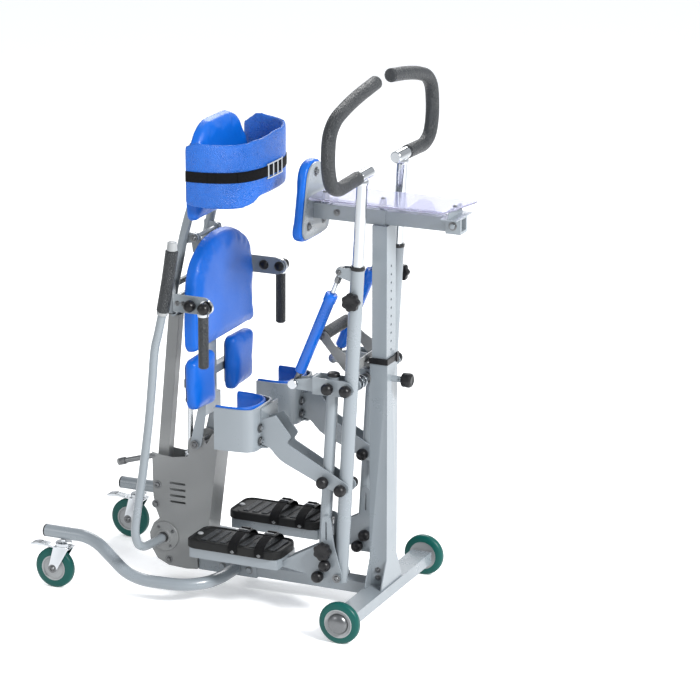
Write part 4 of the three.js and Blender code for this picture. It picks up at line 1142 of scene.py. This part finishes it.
@dataclass
class Back:
    """The levelled back: rails, armrests, back pad and the foam belt with its webbing."""

    pad: tuple = ((-178, 1177, 30), (178, 1177, 30), (186, 1360, 30), (110, 1468, 60), (-110, 1468, 60),
                  (-186, 1360, 30))
    rail: tuple = ((-656, 84, 868), (-650, 84, 925), (-630, 84, 1020), (-613, 84, 1100), (-600, 83, 1150),
                   (-577, 80, 1240),
                   (-575, 78, 1390))
    belt: tuple = ((-547, 193.5), (-510, 193), (-472, 186), (-425, 168), (-388, 136), (-366, 82), (-359, 0))

    def build(self) -> None:
        """Make every piece of the back."""
        self.frame()
        board = [(y * BOARD_SIZE, 1320 + (z - 1320) * BOARD_SIZE, r) for y, z, r in self.pad]
        Piece("back_board").plate(board, Plane.YZ, *BOARD_X, Finish.BLACK).done("back", "upholstery")
        Cushion(pillow("back_cushion", list(self.pad), CUSHION_X, -521, 16, Finish.VINYL), "back", "upholstery",
                ("back_pad",), CUSHION_X, 5.0, 5.0).build()
        self.belt_band()
        for name, side in SIDES.items():
            self.arm(name, side)

    def frame(self) -> None:
        """Make the rails, their bars and the armrest plates."""
        made = Piece("back_rails")
        arm = [(-566, 924, 4), (-452, 924, 22), (-430, 950, 22), (-452, 978, 22), (-566, 978, 4)]
        carrier = [(-622, 1083, 4), (-622, 1123, 4), (-566, 1117, 12), (-566, 1093, 12)]
        lug = [(-651, 913), (-646, 898), (-670, 842, 10), (-682, 834, 10), (-698, 850, 10), (-694, 864, 10)]
        for side in (-1, 1):
            made.tube([(x, side * y, z) for x, y, z in self.rail], 14, Finish.FRAME, 60, 32)
            made.lathe((-575, side * 78, 1388), (0, 0, 1), [(14.2, 0), (14.2, 3), (11, 5), (0, 5)], Finish.BLACK, 32)
            made.lathe((-656, side * 84, 869), (-0.1, 0, -1), [(14.2, 0), (14.2, 2), (11, 3.6), (0, 3.6)],
                       Finish.BLACK, 32)
            made.plate(carrier, Plane.XZ, side * 71, side * 79, Finish.FRAME)
            made.bolt((-580, side * 81, 1105), (0, side, 0), 8, 5)
            made.plate(lug, Plane.XZ, side * 20, side * 25, Finish.FRAME)
            wing = [(-560, side * 246), (-566, side * 242), (-652, side * 84), (-640, side * 84)]
            made.plate(wing, Plane.XY, 926, 972, Finish.FRAME)
            made.plate(arm, Plane.XZ, side * 242, side * 247, Finish.FRAME, 1.0)
            made.ball_knob(-505, 951, side * 246, side)
            for x in (-552, -533):
                made.bolt((x, side * 246.6, 951), (0, side, 0), 5.5, 4)
            for x in (-505, -454):
                dome = [(15, -0.5), (15.4, 2), (13.6, 6), (9, 9), (4, 10), (0, 10)]
                made.lathe((x, side * 242, 951), (0, -side, 0), dome, Finish.BLACK, 32)
        made.tube([(-651, -84, 905), (-651, 84, 905)], 11, Finish.FRAME, 2, 28)
        made.tube([(-576, -79, 1330), (-576, 79, 1330)], 11, Finish.FRAME, 2, 28)
        made.block((-645, -84, 952), (-633, 84, 968), Finish.FRAME, 2)
        made.done("back", "frame_paint", "back_frame")

    @staticmethod
    def eased(s: Array, at: tuple, level: tuple) -> Array:
        """Levels along s, joined by straight runs and then averaged over a short window."""
        rough = np.interp(np.linspace(-0.03, 1.03, len(s) + 8), at, level)
        return np.convolve(rough, np.hanning(11)[1:-1] / np.hanning(11).sum(), "valid")[: len(s)]

    def belt_band(self) -> None:
        """Make the foam belt with uneven edges, and the webbing and buckle round it."""
        count, shift = 150, 8.6
        around = [(x, -y) for x, y in self.belt] + [(x, y) for x, y in self.belt[-2::-1]]
        path = spline(around, count)
        s = np.linspace(0, 1, count)
        wave = 1.2 * np.sin(s * 23) + 0.5 * np.sin(s * 41 + 1)
        low = self.eased(s, (0, 0.05, 0.3, 0.37, 0.39, 0.56, 0.6, 0.92, 1),
                         (1238, 1228, 1226, 1234, 1252, 1252, 1252, 1254, 1278))
        high = self.eased(s, (0, 0.05, 0.3, 0.42, 0.5, 0.6, 0.72, 0.92, 1),
                          (1414, 1426, 1424, 1430, 1438, 1436, 1440, 1440, 1406))
        band = Piece("belt_foam_band").band(path, low + wave, high + wave[::-1], 11.5, Finish.BELT)
        Cushion(band, "back", "belt_foam", ("belt",), None, 2.5, 4.5, 0.55, 3.0).build()
        trim = Piece("belt_webbing")
        out = spline(around, 220)
        trim.band(out[2:-2], 1308, 1340, 2.0, Finish.WEBBING, Plane.XY, shift)
        for at in (96, 104, 112, 120):
            trim.band(out[at : at + 3], 1302, 1346, 3.4, Finish.CHROME, Plane.XY, shift + 2.4)
        for low_z in (1301, 1342.5):
            trim.band(out[95:124], low_z, low_z + 4.5, 3.6, Finish.CHROME, Plane.XY, shift + 2.4)
        trim.band(out[60:112], 1310, 1338, 1.8, Finish.WEBBING, Plane.XY, shift + 2.6)
        for at in (30, 186):
            trim.band(out[at : at + 9], 1312, 1336, 2.4, Finish.WEBBING, Plane.XY, shift + 2.0)
        trim.done("back", "black_plastic")

    def arm(self, name: str, side: float) -> None:
        """Make one hanging arm grip.

        Args:
            name: right or left.
            side: its sign on Y.
        """
        y = side * 263.5
        arm = Piece(f"arm_grip_foam_{name}")
        arm.lathe((-454, side * 247.4, 951), (0, side, 0), [(8, 0), (21, 0), (22, 1), (22, 8.6), (21, 9.6), (8, 9.6)],
                  Finish.CHROME, 48)
        arm.tube([(-460, y, 768), (-459, y, 930)], 15.5, Finish.GRIP, 2, 36, 4.0)
        arm.lathe((-459, y, 926), (0, 0, 1), [(12, 0), (16.4, 0), (17, 1), (17, 10), (16, 12), (10, 16)],
                  Finish.CHROME, 40)
        arm.ball_knob(-454, 951, side * 256, side)
        arm.done(f"arm_{name}", "grip_foam", f"arm_grip_{name}")


@dataclass
class Lift:
    """The lifting gear: strut, jack and pump lever."""

    foot: tuple[float, float, float] = (-650.0, 0.0, 74.0)
    head: tuple[float, float, float] = (-638.0, 0.0, 575.0)
    lever: tuple = (
        (-529, -318, 1156), (-530, -318, 1132), (-545, -318, 1040), (-564, -318, 942), (-580, -318, 872),
        (-591, -318, 829), (-603, -318, 716), (-615, -318, 604), (-640, -318, 430), (-657, -318, 330),
        (-668, -318, 245), (-667, -304, 205), (-666, -274, 186), (-682, -180, 164), (-702, -92, 144), (-710, -66, 138),
    )

    def build(self) -> None:
        """Make the strut, the jack and the pump lever."""
        softened("rear_link", "strut", Finish.TOWER, 1.4)
        start, axis = self.foot, tuple((np.array(self.head) - self.foot).tolist())
        size = float(np.linalg.norm(axis))
        jack = Piece("jack_barrel")
        barrel = [(9, 0.5), (13.4, 0.5), (14.5, 2), (14.5, 0.6 * size), (17.4, 0.605 * size), (18, 0.61 * size),
                  (18, 0.65 * size), (16, 0.66 * size), (9, 0.66 * size)]
        jack.lathe(start, axis, barrel, Finish.CHROME, 48)
        jack.done("jack", "chrome_plate", "jack_cylinder")
        ram = Piece("jack_ram")
        ram.lathe(start, axis, [(8, 0.35 * size), (8.4, 0.36 * size), (8.4, 0.98 * size)], Finish.CHROME, 36)
        x, _, z = self.head
        ram.lathe((x, -12, z), (0, 1, 0), [(5, 0), (12, 0), (13, 1), (13, 23), (12, 24), (5, 24)], Finish.STEEL, 40)
        ram.done("ram", "chrome_plate", "jack_rod")
        pump = Piece("pump_lever_tube")
        pump.tube(list(self.lever), 13, Finish.FRAME, 150, 32, 3.0)
        pump.tube(list(self.lever[1:4]), 19, Finish.GRIP, 40, 36, 4.0)
        low = np.array(self.lever[3], float)
        run = low - np.array(self.lever[4], float)
        pump.lathe(tuple(low - run / np.linalg.norm(run) * 10), tuple(run),
                   [(13, 0), (16, 1), (17, 3), (17, 9), (15, 12)], Finish.HUB, 36)
        pump.lathe((-530, -318, 1131), (0.04, 0, 1), [(15, 0), (16, 1), (15, 12), (14, 24), (11, 26), (0, 26)],
                   Finish.HUB, 36)
        hub = [(8, 0), (16, 1), (16, 13), (15, 14), (10, 14), (10, 40)]
        pump.lathe((-711, -70, 137), (0, 1, 0), hub, Finish.STEEL, 40)
        pump.bolt((-711, -69, 137), (0, -1, 0), 9, 6)
        pump.done("pump", "frame_paint", "pump_lever")


@dataclass
class Studio:
    """The floor, the lights and the camera."""

    place: tuple[float, float, float] = (4.18297, -8.65836, 3.66107)
    tilt: float = 16.80166
    turn: float = 24.19604
    lens: float = 172.709
    target: tuple[float, float, float] = (0.0, 0.0, 0.8)
    sky: tuple[float, float, float, float] = (0.93, 0.96, 1.0, 1.0)
    sky_strength: float = 0.75
    floor_glow: float = 0.24
    floor_half: float = 30.0
    # name, place, power and size of each soft light
    lights: tuple = (
        ("key", (5.2, -2.0, 4.4), 640.0, 1.6),
        ("fill", (-3.4, -5.0, 3.4), 60.0, 2.4),
        ("rim", (-1.5, 4.6, 4.0), 130.0, 2.4),
    )

    def build(self) -> None:
        """Make the camera, the pale floor and three soft lights."""
        shot = bpy.data.cameras.new("camera")
        shot.lens, shot.sensor_width = self.lens, 36.0
        camera = bpy.data.objects.new("camera", shot)
        camera.location = self.place
        camera.rotation_euler = (math.radians(90 - self.tilt), 0.0, math.radians(self.turn))
        bpy.context.scene.collection.objects.link(camera)
        bpy.context.scene.camera = camera
        mesh = bpy.data.meshes.new("floor")
        half = self.floor_half
        mesh.from_pydata([(-half, -half, 0), (half, -half, 0), (half, half, 0), (-half, half, 0)], [], [(0, 1, 2, 3)])
        floor = bpy.data.objects.new("floor", mesh)
        mesh.materials.append(Coat((0.96, 0.96, 0.96), (0.94, 0.94, 0.94), (0.6, 0.7), cloud=1.0).build("floor_matte"))
        glow = mesh.materials[0].node_tree.nodes["Principled BSDF"]
        glow.inputs["Emission Color"].default_value = (1.0, 1.0, 1.0, 1.0)
        glow.inputs["Emission Strength"].default_value = self.floor_glow
        bpy.context.scene.collection.objects.link(floor)
        world = bpy.data.worlds.new("studio")
        world.use_nodes = True
        world.node_tree.nodes["Background"].inputs["Color"].default_value = self.sky
        world.node_tree.nodes["Background"].inputs["Strength"].default_value = self.sky_strength
        bpy.context.scene.world = world
        bpy.context.scene.view_settings.view_transform = "Standard"
        for name, spot, power, size in self.lights:
            lamp = bpy.data.lights.new(name, "AREA")
            lamp.energy, lamp.size = power, size
            light = bpy.data.objects.new(name, lamp)
            light.location = spot
            light.rotation_euler = (Vector(spot) - Vector(self.target)).to_track_quat("Z", "Y").to_euler()
            bpy.context.scene.collection.objects.link(light)


def main() -> None:
    """Build every sub-assembly in order."""
    logging.basicConfig(level=logging.INFO, format="%(name)s %(message)s")
    Studio().build()
    parts = [Base(), Tower(), Mast(), Wheels(), *(GlidingUnit(n, s) for n, s in SIDES.items()), Seat(), Back(), Lift()]
    for part in parts:
        part.build()


if __name__ == "__main__":
    main()
